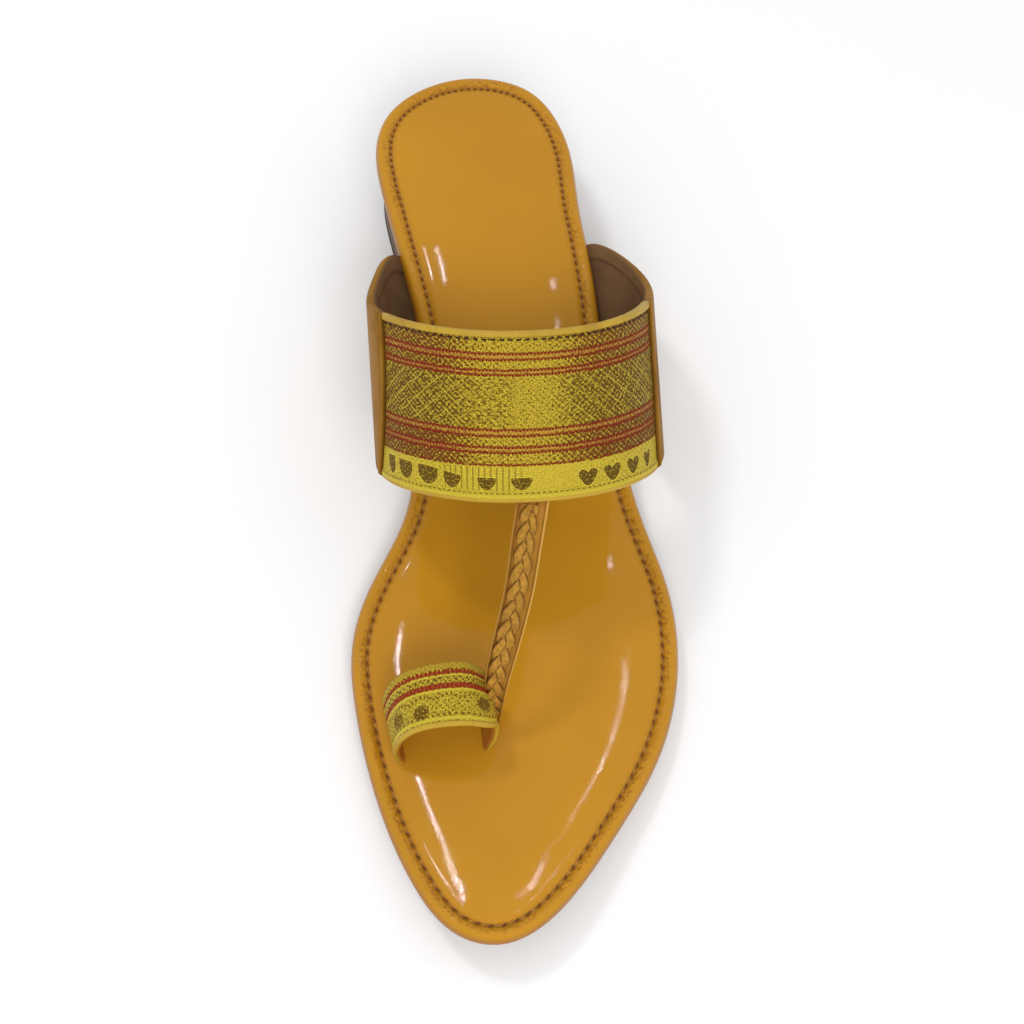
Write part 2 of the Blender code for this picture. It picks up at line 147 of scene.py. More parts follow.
# Each rim of a band that bends over the foot: the widest point on either side, and the crown.
Rim = namedtuple("Rim", "inner_foot inner crown outer outer_foot")
BAND_BACK = Rim(67.4, (-31.6, 42.0, 45.0), (6.5, 14.9, 74.0), (46.8, 45.2, 45.0), 71.0)
BAND_FRONT = Rim(14.0, (-29.1, -4.3, 34.0), (6.0, -25.8, 58.0), (48.4, -0.4, 34.0), 22.0)
LOOP_BACK = Rim((-26.3, -64.0), (-28.4, -65.0, 17.5), (-9.0, -59.2, 31.0), (0.2, -61.5, 21.0), (-1.5, -63.0))
LOOP_FRONT = Rim((-24.0, -80.2), (-25.4, -79.3, 16.5), (-9.7, -76.4, 31.0), (2.2, -74.0, 19.5), (-0.2, -77.0))

# Turns around a band, in degrees: 0 at the widest point inside, 90 at the crown.
SEAM_INNER = 27.9
SEAM_OUTER = 160.0
SEAM_SLANT = 13.0
SEAM_CURVE = 2.6
BAND_FOOT_TURN = 52.0
LOOP_FOOT_TURN = 38.0
TUCK_TURN = 44.0
SLOT_TURN = 22.0
TUCK = 11.0
TUCK_RISE = 0.6
TUCK_FADE = 12.0
SLOT_DEPTH = 3.6
BAND_WALL = 2.0
LOOP_WALL = 1.7
SIDE_STEP = 0.6

# The seam of each side panel: its fold, and the bead beside it with its height and groove.
SEAM_FOLD = 0.9
BEAD_WIDTH = 2.3
BEAD_HEIGHT = 0.35
BEAD_GROOVE = 0.35

# The middle strap's upper face, from under the band to the slot in the insole.
StrapPoint = namedtuple("StrapPoint", "x y z width")
STRAP_PATH = (
    StrapPoint(12.3, -14.0, 61.0, 8.4),
    StrapPoint(10.9, -25.7, 56.0, 8.4),
    StrapPoint(9.2, -35.2, 52.2, 8.2),
    StrapPoint(7.6, -44.2, 47.6, 7.9),
    StrapPoint(5.4, -52.5, 41.9, 7.6),
    StrapPoint(3.0, -59.8, 35.1, 7.3),
    StrapPoint(1.6, -64.8, 27.4, 6.2),
    StrapPoint(1.5, -67.6, 19.0, 4.0),
    StrapPoint(1.3, -69.4, 10.5, 2.8),
    StrapPoint(1.2, -70.0, 6.2, 2.4),
)
STRAP_LAST_PLAIT = 7

# The plait over the strap: half a strip's height, the height of its middle, how far that rises and
# sinks, the lowest it gets, and how far the whole plait lies to the inner side.
STRAND_HALF_HEIGHT = 0.55
PLAIT_HEIGHT = 0.62
PLAIT_RISE = 0.55
PLAIT_LOWEST = -0.25
PLAIT_ASIDE = 0.45

# Red lines of the brocade, from the band's back rim at 0 to its front rim at 1. All but the last
# are in pairs, with orange between the two.
RED_PAIRS = ((0.131, 0.165), (0.228, 0.255), (0.580, 0.615), (0.683, 0.713))
LAST_RED = 0.785
RED_HALF = 0.0078

# Thread spacing in mm: in the red lines of the band and of the loop, and in the weave itself.
BAND_THREAD = 0.95
LOOP_THREAD = 1.1
WEAVE_PITCH = 0.42

# The lattice and the border between the rims, and the lattice's steps in mm.
LATTICE = (0.27, 0.57)
LATTICE_U = 6.0
LATTICE_V = 4.7
BORDER = (0.797, 0.953)
CROWN_PLACE = 1.5

# Cups and hearts of the border: where each lies from the crown, and half its width, in mm.
Motif = namedtuple("Motif", "place half")
MOTIFS = (
    Motif(-39.0, 1.9), Motif(-32.6, 2.9), Motif(-24.4, 3.5), Motif(-16.8, 2.7), Motif(-7.1, 2.7),
    Motif(2.1, 3.0), Motif(19.8, 3.0), Motif(27.4, 3.1), Motif(35.1, 2.7), Motif(42.0, 1.9),
)
MOTIF_SPAN = 60.0


# ---------------------------------------------------------------- shape helpers


def smooth(knots, values, at):
    """The natural cubic spline through values, a row for each knot, read at each place in at."""
    knots, values, at = (np.asarray(a, float) for a in (knots, values, at))
    step = np.diff(knots)
    system, right = np.eye(len(knots)), np.zeros(values.shape)
    for i in range(1, len(knots) - 1):
        system[i, i - 1 : i + 2] = step[i - 1], 2 * (step[i - 1] + step[i]), step[i]
        after = (values[i + 1] - values[i]) / step[i]
        before = (values[i] - values[i - 1]) / step[i - 1]
        right[i] = 6 * (after - before)
    bend = np.linalg.solve(system, right)
    low = np.clip(np.searchsorted(knots, at, side="right") - 1, 0, len(step) - 1)
    column = (-1,) + (1,) * (values.ndim - 1)
    width = step[low].reshape(column)
    b = (at - knots[low]).reshape(column) / width
    a = 1 - b
    curve = ((a**3 - a) * bend[low] + (b**3 - b) * bend[low + 1]) * width**2 / 6
    return a * values[low] + b * values[low + 1] + curve


def ease(x):
    """0 below 0, 1 above 1, and a soft step between."""
    x = np.clip(x, 0, 1)
    return x * x * (3 - 2 * x)


def hill(x, centre, half):
    """A soft hill, 1 at the centre and 0 beyond half."""
    return ease(1 - np.abs(x - centre) / half)


def lengths(points):
    """How far along an open row of points each one lies."""
    return np.concatenate([[0], np.cumsum(np.linalg.norm(np.diff(points, axis=0), axis=1))])


def lengths_round(points):
    """The same for a closed ring of points, which ends where it began."""
    return lengths(np.vstack([points, points[:1]]))


def unit(rows):
    return rows / np.linalg.norm(rows, axis=-1)[..., None]


def half_widths(turn):
    """Inner and outer half widths, at turns from 0 at the heel's back to pi / 2 at the toe's tip."""
    knots = np.arcsin(np.sqrt([s.along for s in OUTLINE]))
    return smooth(knots, [(s.inner, s.outer) for s in OUTLINE], turn)


def half_width_at(y, side):
    """How far the outline lies from the middle at y, on the inner (-1) or outer (1) side."""
    turn = np.arcsin(np.sqrt(0.5 - y / LENGTH))
    return half_widths(np.array([turn]))[0][0 if side < 0 else 1]


def rim_height(y):
    """The height of the top of the rolled edge."""
    along = 0.5 - np.asarray(y) / LENGTH
    arch = ease((ARCH_FOOT - along) / (ARCH_FOOT - ARCH_TOP))
    spring = np.clip((along - SPRING_START) / (1 - SPRING_START), 0, 1)
    return RIM_AT_BALL + (RIM_AT_HEEL - RIM_AT_BALL) * arch + TOE_SPRING * spring**2


def outline(turns, inset):
    """The outline from above at signed turns: outer side above 0, inner side below, moved inwards."""

    def plan(t):
        widths = half_widths(np.abs(t))
        x = np.where(t >= 0, widths[:, 1], -widths[:, 0])
        return np.column_stack([x, LENGTH / 2 * np.cos(2 * t)])

    turns = np.asarray(turns, float)
    nudge = 1e-3
    near = np.clip(turns, -pi / 2 + nudge, pi / 2 - nudge)
    run = plan(near + nudge) - plan(near - nudge)
    run[np.abs(turns) > pi / 2 - nudge] = (-1, 0)
    run = unit(run)
    return plan(turns) + np.asarray(inset)[..., None] * np.column_stack([run[:, 1], -run[:, 0]])


def sole_turns(count):
    """Turns of a closed ring, evenly spaced along the edge: heel, outer side, toe, inner side."""
    fine = np.linspace(0, pi / 2, 2000)
    run = lengths(outline(fine, 0)) + lengths(outline(-fine, 0))
    outer = np.interp(np.linspace(0, run[-1], count + 1), run, fine)
    return np.concatenate([outer, -outer[-2:0:-1]])


def spine(turns):
    """The line down the sole's middle that its rings close on."""
    y = np.clip(LENGTH / 2 * np.cos(2 * turns), TOE_CENTRE, HEEL_CENTRE)
    widths = half_widths(np.arcsin(np.sqrt(0.5 - y / LENGTH)))
    return np.column_stack([(widths[:, 1] - widths[:, 0]) / 2, y])


# The outline is measured from the foot's middle line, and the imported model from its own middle.
SHIFT = float(outline(sole_turns(400), 0)[:, 0].min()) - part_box("insole")[0].x / MM


def add_object(name, data):
    obj = bpy.data.objects.new(name, data)
    bpy.context.scene.collection.objects.link(obj)
    return obj


def make_piece(name, points, faces, material, part, uv=None, weld=False):
    """A piece from points in mm. It rides on the body and takes the place of the named part, which it hides.
    """
    points = np.asarray(points, float).reshape(-1, 3) - (SHIFT, 0, 0)
    mesh = bpy.data.meshes.new(name)
    mesh.from_pydata((points * MM).tolist(), [], faces)
    if uv is not None:
        mesh.uv_layers.new(name="Lengths").data.foreach_set("uv", np.asarray(uv, np.float32).ravel())
    body = bmesh.new()
    body.from_mesh(mesh)
    if weld:
        bmesh.ops.remove_doubles(body, verts=body.verts, dist=2e-6)
    bmesh.ops.recalc_face_normals(body, faces=body.faces)
    body.to_mesh(mesh)
    body.free()
    mesh.shade_smooth()
    mesh.materials.append(material)
    obj = add_object(name, mesh)
    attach(obj, BODY)
    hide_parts(part)


def make_skin(name, grid, run, across, material, part, ring=False):
    """A surface over rows of points. A ring joins its last row to its first, else each row is closed."""
    rows, columns = grid.shape[:2]
    i = np.arange(rows if ring else rows - 1)
    j = np.arange(columns - 1 if ring else columns)
    a, b = (m.ravel() for m in np.meshgrid(i, j, indexing="ij"))
    a2, b2 = (a + 1) % rows, (b + 1) % columns
    faces = np.column_stack([a, a2, a2, a]) * columns + np.column_stack([b, b, b2, b2])
    run, across = np.asarray(run, float) / UV_MM, np.asarray(across, float) / UV_MM
    if run.ndim == 1:
        run = np.repeat(run[:, None], columns, axis=1)
    corners = ((a, b, b), (a + 1, b, b), (a + 1, b2, b + 1), (a, b2, b + 1))
    uv = np.stack([np.column_stack([run[r, c], across[d]]) for r, c, d in corners], axis=1)
    uv, faces = uv.reshape(-1, 2), faces.tolist()
    if not ring:
        for row in (0, rows - 1):
            faces.append(list(range(row * columns, (row + 1) * columns)))
            uv = np.vstack([uv, np.column_stack([run[row], across[:columns]])])
    make_piece(name, grid, faces, material, part, uv, weld=ring)


def tucked(side, y):
    """The band's end, from under the insole round the rolled edge: turns past the foot and points."""
    edge, rim = half_width_at(y, side), float(rim_height(y))
    under = INSOLE_THICKNESS + BAND_WALL / 2 - TUCK_RISE
    bends = (
        (TUCK_TURN, edge - TUCK, under),
        (30.0, edge - TUCK / 2, under),
        (14.0, edge - 1.5, under - 0.2),
        (0.0, edge + 2.4, INSOLE_THICKNESS / 2 + 0.3),
    )
    return [(turn, (side * x, y, rim - drop)) for turn, x, drop in bends]


def slotted(side, place):
    """The loop's end, straight down into its slot in the insole."""
    rim = float(rim_height(place[1]))
    return [(SLOT_TURN, (*place, rim - SLOT_DEPTH)), (0.0, (*place, rim))]


def rim_curve(rim, foot_turn, end):
    """A function from turns to points on the rim. It bends up one side and down the other."""
    half = np.radians(foot_turn) / 2
    share = ((1 - np.cos(half)) / (1 - np.cos(2 * half)), *[np.sin(half) / np.sin(2 * half)] * 2)
    knots = []
    for side, foot, widest in ((-1, rim.inner_foot, rim.inner), (1, rim.outer_foot, rim.outer)):
        hidden = end(side, foot)
        widest, crown, base = np.array(widest), np.array(rim.crown), np.array(hidden[-1][1])
        found = [(-foot_turn - turn, point) for turn, point in hidden]
        found.append((-foot_turn / 2, widest + (base - widest) * share))
        for turn in (0.0, 30.0, 60.0):
            angle = np.radians(turn)
            part = np.array([np.cos(angle), 1 - np.sin(angle), 1 - np.sin(angle)])
            found.append((turn, crown + (widest - crown) * part))
        if side < 0:
            knots = found + [(90.0, rim.crown)]
        else:
            knots += [(180.0 - turn, point) for turn, point in reversed(found)]
    turns, points = zip(*knots)
    return lambda at: smooth(turns, np.array(points, float), at)


class Bend:
    """A wall that bends over the foot between a back and a front rim, with its places in turns."""

    def __init__(self, back, front, foot_turn, end_turn, end):
        self.rims = [rim_curve(r, foot_turn, end) for r in (back, front)]
        self.scale = float(np.linalg.norm(np.subtract(front.crown, back.crown)))
        self.reach = foot_turn + end_turn
        self.fine = np.linspace(-self.reach, 180 + self.reach, 2400)
        along = lengths(self.at(self.fine, np.array([0.5]), 0.0)[:, 0])
        self.along = along - np.interp(90.0, self.fine, along)

    def at(self, turns, shares, heights):
        """Points at shares from the back rim to the front one, raised over the wall's outer face."""
        shape = len(turns), np.shape(shares)[-1]
        turns = np.broadcast_to(turns if turns.ndim == 2 else turns[:, None], shape).ravel()
        shares = np.broadcast_to(shares, shape)[..., None]
        back, front = (rim(turns).reshape(*shape, 3) for rim in self.rims)
        back_next, front_next = (rim(turns + 0.1).reshape(*shape, 3) for rim in self.rims)
        back_run, front_run = back_next - back, front_next - front
        across = front - back
        out = unit(np.cross(across, back_run + (front_run - back_run) * shares))
        return back + across * shares + out * np.broadcast_to(heights, shape)[..., None]

    def widths(self, turns):
        back, front = (rim(turns) for rim in self.rims)
        return np.linalg.norm(front - back, axis=1)

    def run(self, turns):
        """Lengths around the middle of the wall, from its crown."""
        return np.interp(turns, self.fine, self.along)

    def turns_at(self, places):
        """The turns that lie at these lengths from the crown."""
        return np.interp(places, self.along, self.fine)

    def even(self, first, last, step):
        """Turns between two, about step mm apart along the wall."""
        ends = self.run(np.array([first, last]))
        return self.turns_at(np.linspace(*ends, round((ends[1] - ends[0]) / step) + 1))

    def strip(self, name, turns, section, material, lift=None, slant=None, follow=False):
        """A closed strip of the upper. Its section is rows of share, mm beyond the share, and height.

        A slant leans the turns by their share, and then the run may follow the leaning places."""
        share, beyond, height = np.array(section, float).T
        shares = share + beyond / self.widths(turns)[:, None]
        heights = height if lift is None else lift(turns, height)
        placed = slant(turns, shares) if slant else turns
        places = share * self.scale + beyond
        grid = self.at(placed, shares, heights)
        run = self.run(placed if follow else turns)
        make_skin(name, grid, run, np.append(places, places[0]), material, "upper")


BAND = Bend(BAND_BACK, BAND_FRONT, BAND_FOOT_TURN, TUCK_TURN, tucked)
LOOP = Bend(LOOP_BACK, LOOP_FRONT, LOOP_FOOT_TURN, SLOT_TURN, slotted)
SEAM_RUNS = BAND.run(np.array([SEAM_INNER, SEAM_OUTER]))


def seam_slant(turns, shares):
    """The inner seam leans as it runs forward, and the cloth beside it leans less and less."""
    fold_end = -20.0
    behind, ahead = (turns - fold_end) / (SEAM_INNER - fold_end), (90 - turns) / (90 - SEAM_INNER)
    near = ease(np.where(turns < SEAM_INNER, behind, ahead))
    return turns[:, None] - SEAM_SLANT * near[:, None] * np.clip(shares, 0, 1) ** SEAM_CURVE


def rounded(points):
    """A closed section with its corners cut."""
    points = np.array(points, float)
    ahead = np.roll(points, -1, axis=0)
    return np.stack([points * 0.75 + ahead * 0.25, points * 0.25 + ahead * 0.75], axis=1).reshape(-1, 3)


def make_beads(name, centres, ways, ups, size, material, part):
    """Stitches: a small rounded bead at each centre along its way. Size is length, width and height."""
    rows, spokes = 5, 8
    angle = np.linspace(0, 2 * pi, spokes, endpoint=False)
    lie = np.cos(np.linspace(pi, 0, rows + 2))[1:-1]
    bulk = np.sqrt(1 - lie**4)
    ring = [(x, b * np.cos(a), b * np.sin(a)) for x, b in zip(lie, bulk) for a in angle]
    bead = np.vstack([[(-1, 0, 0)], ring, [(1, 0, 0)]])
    last = len(bead) - 1
    faces = []
    for k in range(spokes):
        n = (k + 1) % spokes
        faces += [(0, 1 + n, 1 + k), (last, last - spokes + k, last - spokes + n)]
        for base in range(1, last - spokes, spokes):
            faces.append((base + k, base + n, base + spokes + n, base + spokes + k))
    frames = np.stack([ways, np.cross(ups, ways), ups], axis=1)
    length, width, height = (np.broadcast_to(s, len(centres)) / 2 for s in size)
    halves = np.column_stack([length, width, height])
    points = np.einsum("bk,nk,nkc->nbc", bead, halves, frames) + centres[:, None]
    every = [tuple(i + s * len(bead) for i in face) for s in range(len(centres)) for face in faces]
    make_piece(name, points, every, material, part)


# ------------------------------------------------------------- material helpers


class Wire:
    """A number that changes over the surface. Sums written with it become Math nodes."""

    def __init__(self, tree, socket):
        self.tree, self.socket = tree, socket

    def math(self, operation, *others):
        made = self.tree.nodes.new("ShaderNodeMath")
        made.operation = operation
        for socket, value in zip(made.inputs, (self, *others)):
            plug(self.tree, socket, value)
        return Wire(self.tree, made.outputs[0])

    def __add__(self, other):
        return self.math("ADD", other)

    def __sub__(self, other):
        return self.math("SUBTRACT", other)

    def __rsub__(self, other):
        return self.math("MULTIPLY", -1.0).math("ADD", other)

    def __mul__(self, other):
        return self.math("MULTIPLY", other)

    def __truediv__(self, other):
        return self.math("DIVIDE", other)

    __radd__, __rmul__ = __add__, __mul__

    def wave(self, length):
        """A sine wave of this length."""
        return (self * (2 * pi / length)).math("SINE")

    def ramp(self, low, high, start=0.0, end=1.0):
        """A soft step from start to end as the number goes from low to high."""
        made = self.tree.nodes.new("ShaderNodeMapRange")
        made.interpolation_type = "SMOOTHSTEP"
        for socket, value in zip(made.inputs, (self, low, high, start, end)):
            plug(self.tree, socket, value)
        return Wire(self.tree, made.outputs[0])

    def near(self, centre, half, soft):
        """1 within half of the centre, and 0 beyond, with a soft edge."""
        return (self - centre).math("ABSOLUTE").ramp(half, half + soft, 1.0, 0.0)


def plug(tree, socket, value):
    if isinstance(value, Wire):
        tree.links.new(value.socket, socket)
    elif isinstance(value, bpy.types.NodeSocket):
        tree.links.new(value, socket)
    elif socket.type == "RGBA":
        socket.default_value = (*value, 1.0)[:4]
    else:
        socket.default_value = value


def put(tree, kind, inputs=(), **settings):
    """A node with its settings and inputs."""
    made = tree.nodes.new("ShaderNode" + kind)
    for key, value in settings.items():
        setattr(made, key, value)
    for key, value in dict(inputs).items():
        plug(tree, made.inputs[key], value)
    return made


def mix(tree, factor, first, second):
    return put(tree, "Mix", {0: factor, 6: first, 7: second}, data_type="RGBA").outputs[2]


def object_place(tree):
    return put(tree, "TexCoord").outputs["Object"]


def cloud(tree, where, scale, detail=2.0, roughness=0.5, stretch=None):
    """Cloudy noise. The scale is spots for each unit of where, and stretch squeezes it."""
    if stretch:
        where = put(tree, "Mapping", {"Vector": where, "Scale": stretch}).outputs[0]
    inputs = {"Vector": where, "Scale": scale, "Detail": detail, "Roughness": roughness}
    return Wire(tree, put(tree, "TexNoise", inputs).outputs["Fac"])


def surface_lengths(tree):
    """Lengths in mm around and across the piece."""
    uv = put(tree, "UVMap", uv_map="Lengths").outputs[0]
    parts = put(tree, "SeparateXYZ", {0: uv})
    return [Wire(tree, parts.outputs[k]) * UV_MM for k in (0, 1)]


def graded(tree, wire, stops):
    """A number read from stops of place and value. Each value holds up to the next stop."""
    made = put(tree, "ValToRGB", {0: wire})
    ramp = made.color_ramp
    ramp.interpolation = "CONSTANT"
    while len(ramp.elements) < len(stops):
        ramp.elements.new(1.0)
    for element, (place, value) in zip(ramp.elements, stops):
        element.position = place
        element.color = (value, value, value, 1.0)
    return Wire(tree, made.outputs[0])


def shade(colour, factor):
    """The colour made lighter or darker."""
    return tuple(min(1.0, c * factor) for c in colour)


def make_group(name, inputs, outputs, build):
    """A shader node group, built once."""
    if name in bpy.data.node_groups:
        return bpy.data.node_groups[name]
    tree = bpy.data.node_groups.new(name, "ShaderNodeTree")
    for title, value in inputs:
        socket = tree.interface.new_socket(title, in_out="INPUT", socket_type="NodeSocketFloat")
        socket.default_value = value
    for title in outputs:
        tree.interface.new_socket(title, in_out="OUTPUT", socket_type="NodeSocketFloat")
    source, sink = tree.nodes.new("NodeGroupInput"), tree.nodes.new("NodeGroupOutput")
    found = build(tree, *[Wire(tree, source.outputs[title]) for title, _ in inputs])
    for socket, value in zip(sink.inputs, found):
        plug(tree, socket, value)
    return tree


def place_group(tree, group, **values):
    """The outputs of a node group placed with these inputs."""
    made = put(tree, "Group", node_tree=group)
    for key, value in values.items():
        plug(tree, made.inputs[key], value)
    return [Wire(tree, socket) for socket in made.outputs]


def leather_grain():
    """Leather: fine pebbles, and a slow change of tone."""

    def build(tree, size):
        where = object_place(tree)
        cells = put(tree, "TexVoronoi", {"Vector": where, "Scale": size}, feature="DISTANCE_TO_EDGE")
        pebble = Wire(tree, cells.outputs["Distance"]).ramp(0.0, 0.35)
        fine = cloud(tree, where, size * 3.1)
        tone = cloud(tree, where, size / 22.0, 3.0)
        return pebble * 0.7 + fine * 0.3, tone.ramp(0.3, 0.7)

    return make_group("Leather grain", [("Size", 900.0)], ["Height", "Tone"], build)


def thread_weave():
    """Plain weave: threads that pass over and under."""

    def build(tree, along, across, pitch):
        u, v = along / pitch, across / pitch
        warp = (u * pi).math("SINE").math("ABSOLUTE")
        weft = (v * pi).math("SINE").math("ABSOLUTE")
        over = (u.math("FLOOR") + v.math("FLOOR")).math("MODULO", 2.0).math("ABSOLUTE")
        return (over * warp + (1.0 - over) * weft,)

    inputs = [("Along", 0.0), ("Across", 0.0), ("Pitch", 0.5)]
    return make_group("Thread weave", inputs, ["Height"], build)


def rubbed_wear():
    """Rubbed and dusty patches."""

    def build(tree, scale):
        where = object_place(tree)
        broad = cloud(tree, where, scale, 4.0)
        fine = cloud(tree, where, scale * 9.0, 3.0, stretch=(1.0, 0.25, 1.0))
        return ((broad * 0.6 + fine * 0.4).ramp(0.42, 0.68),)

    return make_group("Rubbed wear", [("Scale", 60.0)], ["Mask"], build)


def wear_of(tree, scale):
    return place_group(tree, rubbed_wear(), Scale=scale)[0]


def grain_of(tree, size):
    return place_group(tree, leather_grain(), Size=size)


def finish(tint, wear, rough, height, depth):
    """The shader's inputs: roughness between two values by the wear, and relief of a depth in metres."""
    return {"Base Color": tint, "Roughness": wear.ramp(0.0, 1.0, *rough), "Height": (height, depth)}


def make_material(name, build, specular):
    """A material from the inputs that build gives."""
    if name in bpy.data.materials:
        return bpy.data.materials[name]
    material = bpy.data.materials.new(name)
    material.use_nodes = True
    tree = material.node_tree
    surface = tree.nodes["Principled BSDF"]
    inputs = {"Specular IOR Level": specular, **build(tree)}
    height, distance = inputs.pop("Height", (None, None))
    if height:
        inputs["Normal"] = put(tree, "Bump", {"Height": height, "Distance": distance}).outputs[0]
    for key, value in inputs.items():
        plug(tree, surface.inputs[key], value)
    return material


def colour_of(name):
    return tuple(getattr(bpy.context.scene.sandal_colours, name))


def size_of(name):
    """A size in millimetres."""
    return getattr(bpy.context.scene.sandal_sizes, name) / MM


def patent_leather():
    """Glossy patent leather, faintly uneven. Painted shade darkens the roll's outer side and underside, along
    with the cut edge's own darker tone, and lies in the groove and in the wrinkles beside the stitches, with
    painted glints on the wrinkles' crests.
    """
    tan, edge_tan_and_shade, crease_shade = (colour_of(n) for n in ("patent", "patent_edge_and_shade", "patent_crease_shade"))

    def build(tree):
        _, inset = surface_lengths(tree)
        where = object_place(tree)
        tone = cloud(tree, where, 26.0, 3.0)
        wear = wear_of(tree, 40.0)
        tint = mix(tree, tone.ramp(0.3, 0.7), shade(tan, 0.95), shade(tan, 1.04))
        # Painted shade on the roll's outer side and underside, along with the cut edge's darker tone.
        tint = mix(tree, inset.ramp(1.3, -0.6), tint, edge_tan_and_shade)
        # Painted shade in the groove, where the stitches sit.
        tint = mix(tree, inset.near(GROOVE.inset, 0.15, 0.75) * 0.75, tint, crease_shade)
        beside = inset.near(3.6, 0.7, 1.2) * cloud(tree, where, 60.0, 1.0).ramp(0.36, 0.6, 0.25, 1.0)
        peel = cloud(tree, where, 1300.0, 1.0)
        wave = cloud(tree, where, 75.0, 1.0)
        wrinkle = cloud(tree, where, 1000.0, 2.0)
        # Painted shade in the hollows of the wrinkles beside the stitches.
        tint = mix(tree, beside * wrinkle.ramp(0.54, 0.38) * 0.6, tint, crease_shade)
        # Painted glints on the crests of those wrinkles.
        tint = mix(tree, beside * wrinkle.ramp(0.56, 0.7) * 0.2, tint, shade(tan, 1.6))
        height = wave * 0.5 + peel * 0.08 + wrinkle * beside * 1.5
        return finish(tint, wear, (0.04, 0.09), height, 0.0002)

    return make_material("Patent leather", build, specular=0.2)


def finished_leather(name, tone_name, rough=0.45, size=1100.0, gloss=0.3, seam_shade=False):
    """Finished leather with a fine grain. For a side panel, painted shade darkens the groove beside its bead
    and the fold where the panel meets the cloth.
    """
    colour, dark = colour_of(tone_name), colour_of(tone_name + "_dark")

    def build(tree):
        height, tone = grain_of(tree, size)
        wear = wear_of(tree, 90.0)
        tint = mix(tree, tone * 0.5 + wear * 0.3, colour, dark)
        if seam_shade:
            u, _ = surface_lengths(tree)
            gone = (u * -1.0 + SEAM_RUNS[0]).math("MAXIMUM", u - SEAM_RUNS[1])
            # Painted shade in the groove beside the bead.
            tint = mix(tree, gone.near(BEAD_WIDTH + 0.2, 0.15, 0.5) * 0.75, tint, shade(dark, 0.3))
            # Painted shade on the fold, where the panel turns down to the cloth.
            tint = mix(tree, gone.ramp(0.7, 0.0) * 0.85, tint, shade(dark, 0.2))
        return finish(tint, wear, (rough, rough + 0.14), height, 0.00006)

    return make_material(name, build, specular=gloss)


def suede_lining():
    """The brown lining: a short soft nap, with a stitched hem below the back rim."""
    colour = colour_of("lining")

    def build(tree):
        _, v = surface_lengths(tree)
        where = object_place(tree)
        nap = cloud(tree, where, 3500.0, 3.0, 0.7)
        tone = cloud(tree, where, 120.0, 3.0)
        tint = mix(tree, tone.ramp(0.3, 0.7), shade(colour, 0.82), shade(colour, 1.15))
        tint = mix(tree, nap.ramp(0.35, 0.65) * 0.4, tint, shade(colour, 1.3))
        tint = mix(tree, v.near(4.0, 0.25, 0.5) * 0.5, tint, shade(colour, 0.45))
        tint = mix(tree, v.ramp(3.9, 3.0) * 0.4, tint, shade(colour, 1.5))
        return finish(tint, wear_of(tree, 70.0), (0.8, 0.95), nap, 0.00015)

    return make_material("Suede lining", build, specular=0.15)


def sewing_thread(tone_name):
    """Twisted thread, named after its colour."""
    colour = colour_of(tone_name)

    def build(tree):
        twist = cloud(tree, object_place(tree), 2600.0)
        tint = mix(tree, twist.ramp(0.35, 0.65), shade(colour, 0.65), shade(colour, 1.4))
        rough = twist.ramp(0.3, 0.7, 0.45, 0.75)
        return {"Base Color": tint, "Roughness": rough, "Height": (twist, 0.00012)}

    return make_material(tone_name.replace("_", " ").capitalize(), build, specular=0.3)


def sole_leather(name, tone_name, base=0.0, layer=0.0):
    """Sole leather with its cut edge. The layers of a stack differ a little in tone."""
    colour = colour_of(tone_name)

    def build(tree):
        where = object_place(tree)
        height, _ = grain_of(tree, 700.0)
        wear = wear_of(tree, 80.0)
        fibre = cloud(tree, where, 300.0, 4.0, 0.6, (1.0, 1.0, 9.0))
        tint = mix(tree, fibre.ramp(0.3, 0.7), shade(colour, 0.7), shade(colour, 1.2))
        if layer:
            z = Wire(tree, put(tree, "SeparateXYZ", {0: where}).outputs[2]) / MM
            part = ((z - base) / layer).math("FLOOR").wave(2.7).math("ABSOLUTE")
            tint = mix(tree, part * 0.5, tint, shade(colour, 0.5))
        tint = mix(tree, wear * 0.4, tint, shade(colour, 1.35))
        return finish(tint, wear, (0.5, 0.72), height * 0.4 + fibre, 0.00012)

    return make_material(name, build, specular=0.3)


def heel_rubber():
    """Matt speckled rubber."""
    colour = colour_of("top_piece")

    def build(tree):
        speck = cloud(tree, object_place(tree), 1400.0, 3.0)
        wear = wear_of(tree, 90.0)
        return finish(mix(tree, wear, colour, shade(colour, 1.9)), wear, (0.65, 0.85), speck, 0.00012)

    return make_material("Heel rubber", build, specular=0.3)


def plait_leather():
    """Matt tan strips, lighter along their tops, with painted shade on their edges and undersides where they
    meet. Across them, 0 to 2 pi runs round the strip.
    """
    colour, dark = colour_of("plait"), colour_of("plait_edge_shade")

    def build(tree):
        _, around = surface_lengths(tree)
        height, tone = grain_of(tree, 1800.0)
        # Painted shade: the tops of the strips keep their colour, and their edges and undersides go dark.
        middle = (around - pi / 2).math("COSINE").ramp(0.2, 0.95)
        streak = cloud(tree, object_place(tree), 900.0, 3.0)
        tint = mix(tree, streak.ramp(0.3, 0.7), shade(colour, 0.75), shade(colour, 1.2))
        tint = mix(tree, tone * 0.4, tint, shade(colour, 0.7))
        return finish(mix(tree, middle, dark, tint), tone, (0.45, 0.6), height, 0.0001)

    return make_material("Plait leather", build, specular=0.15)


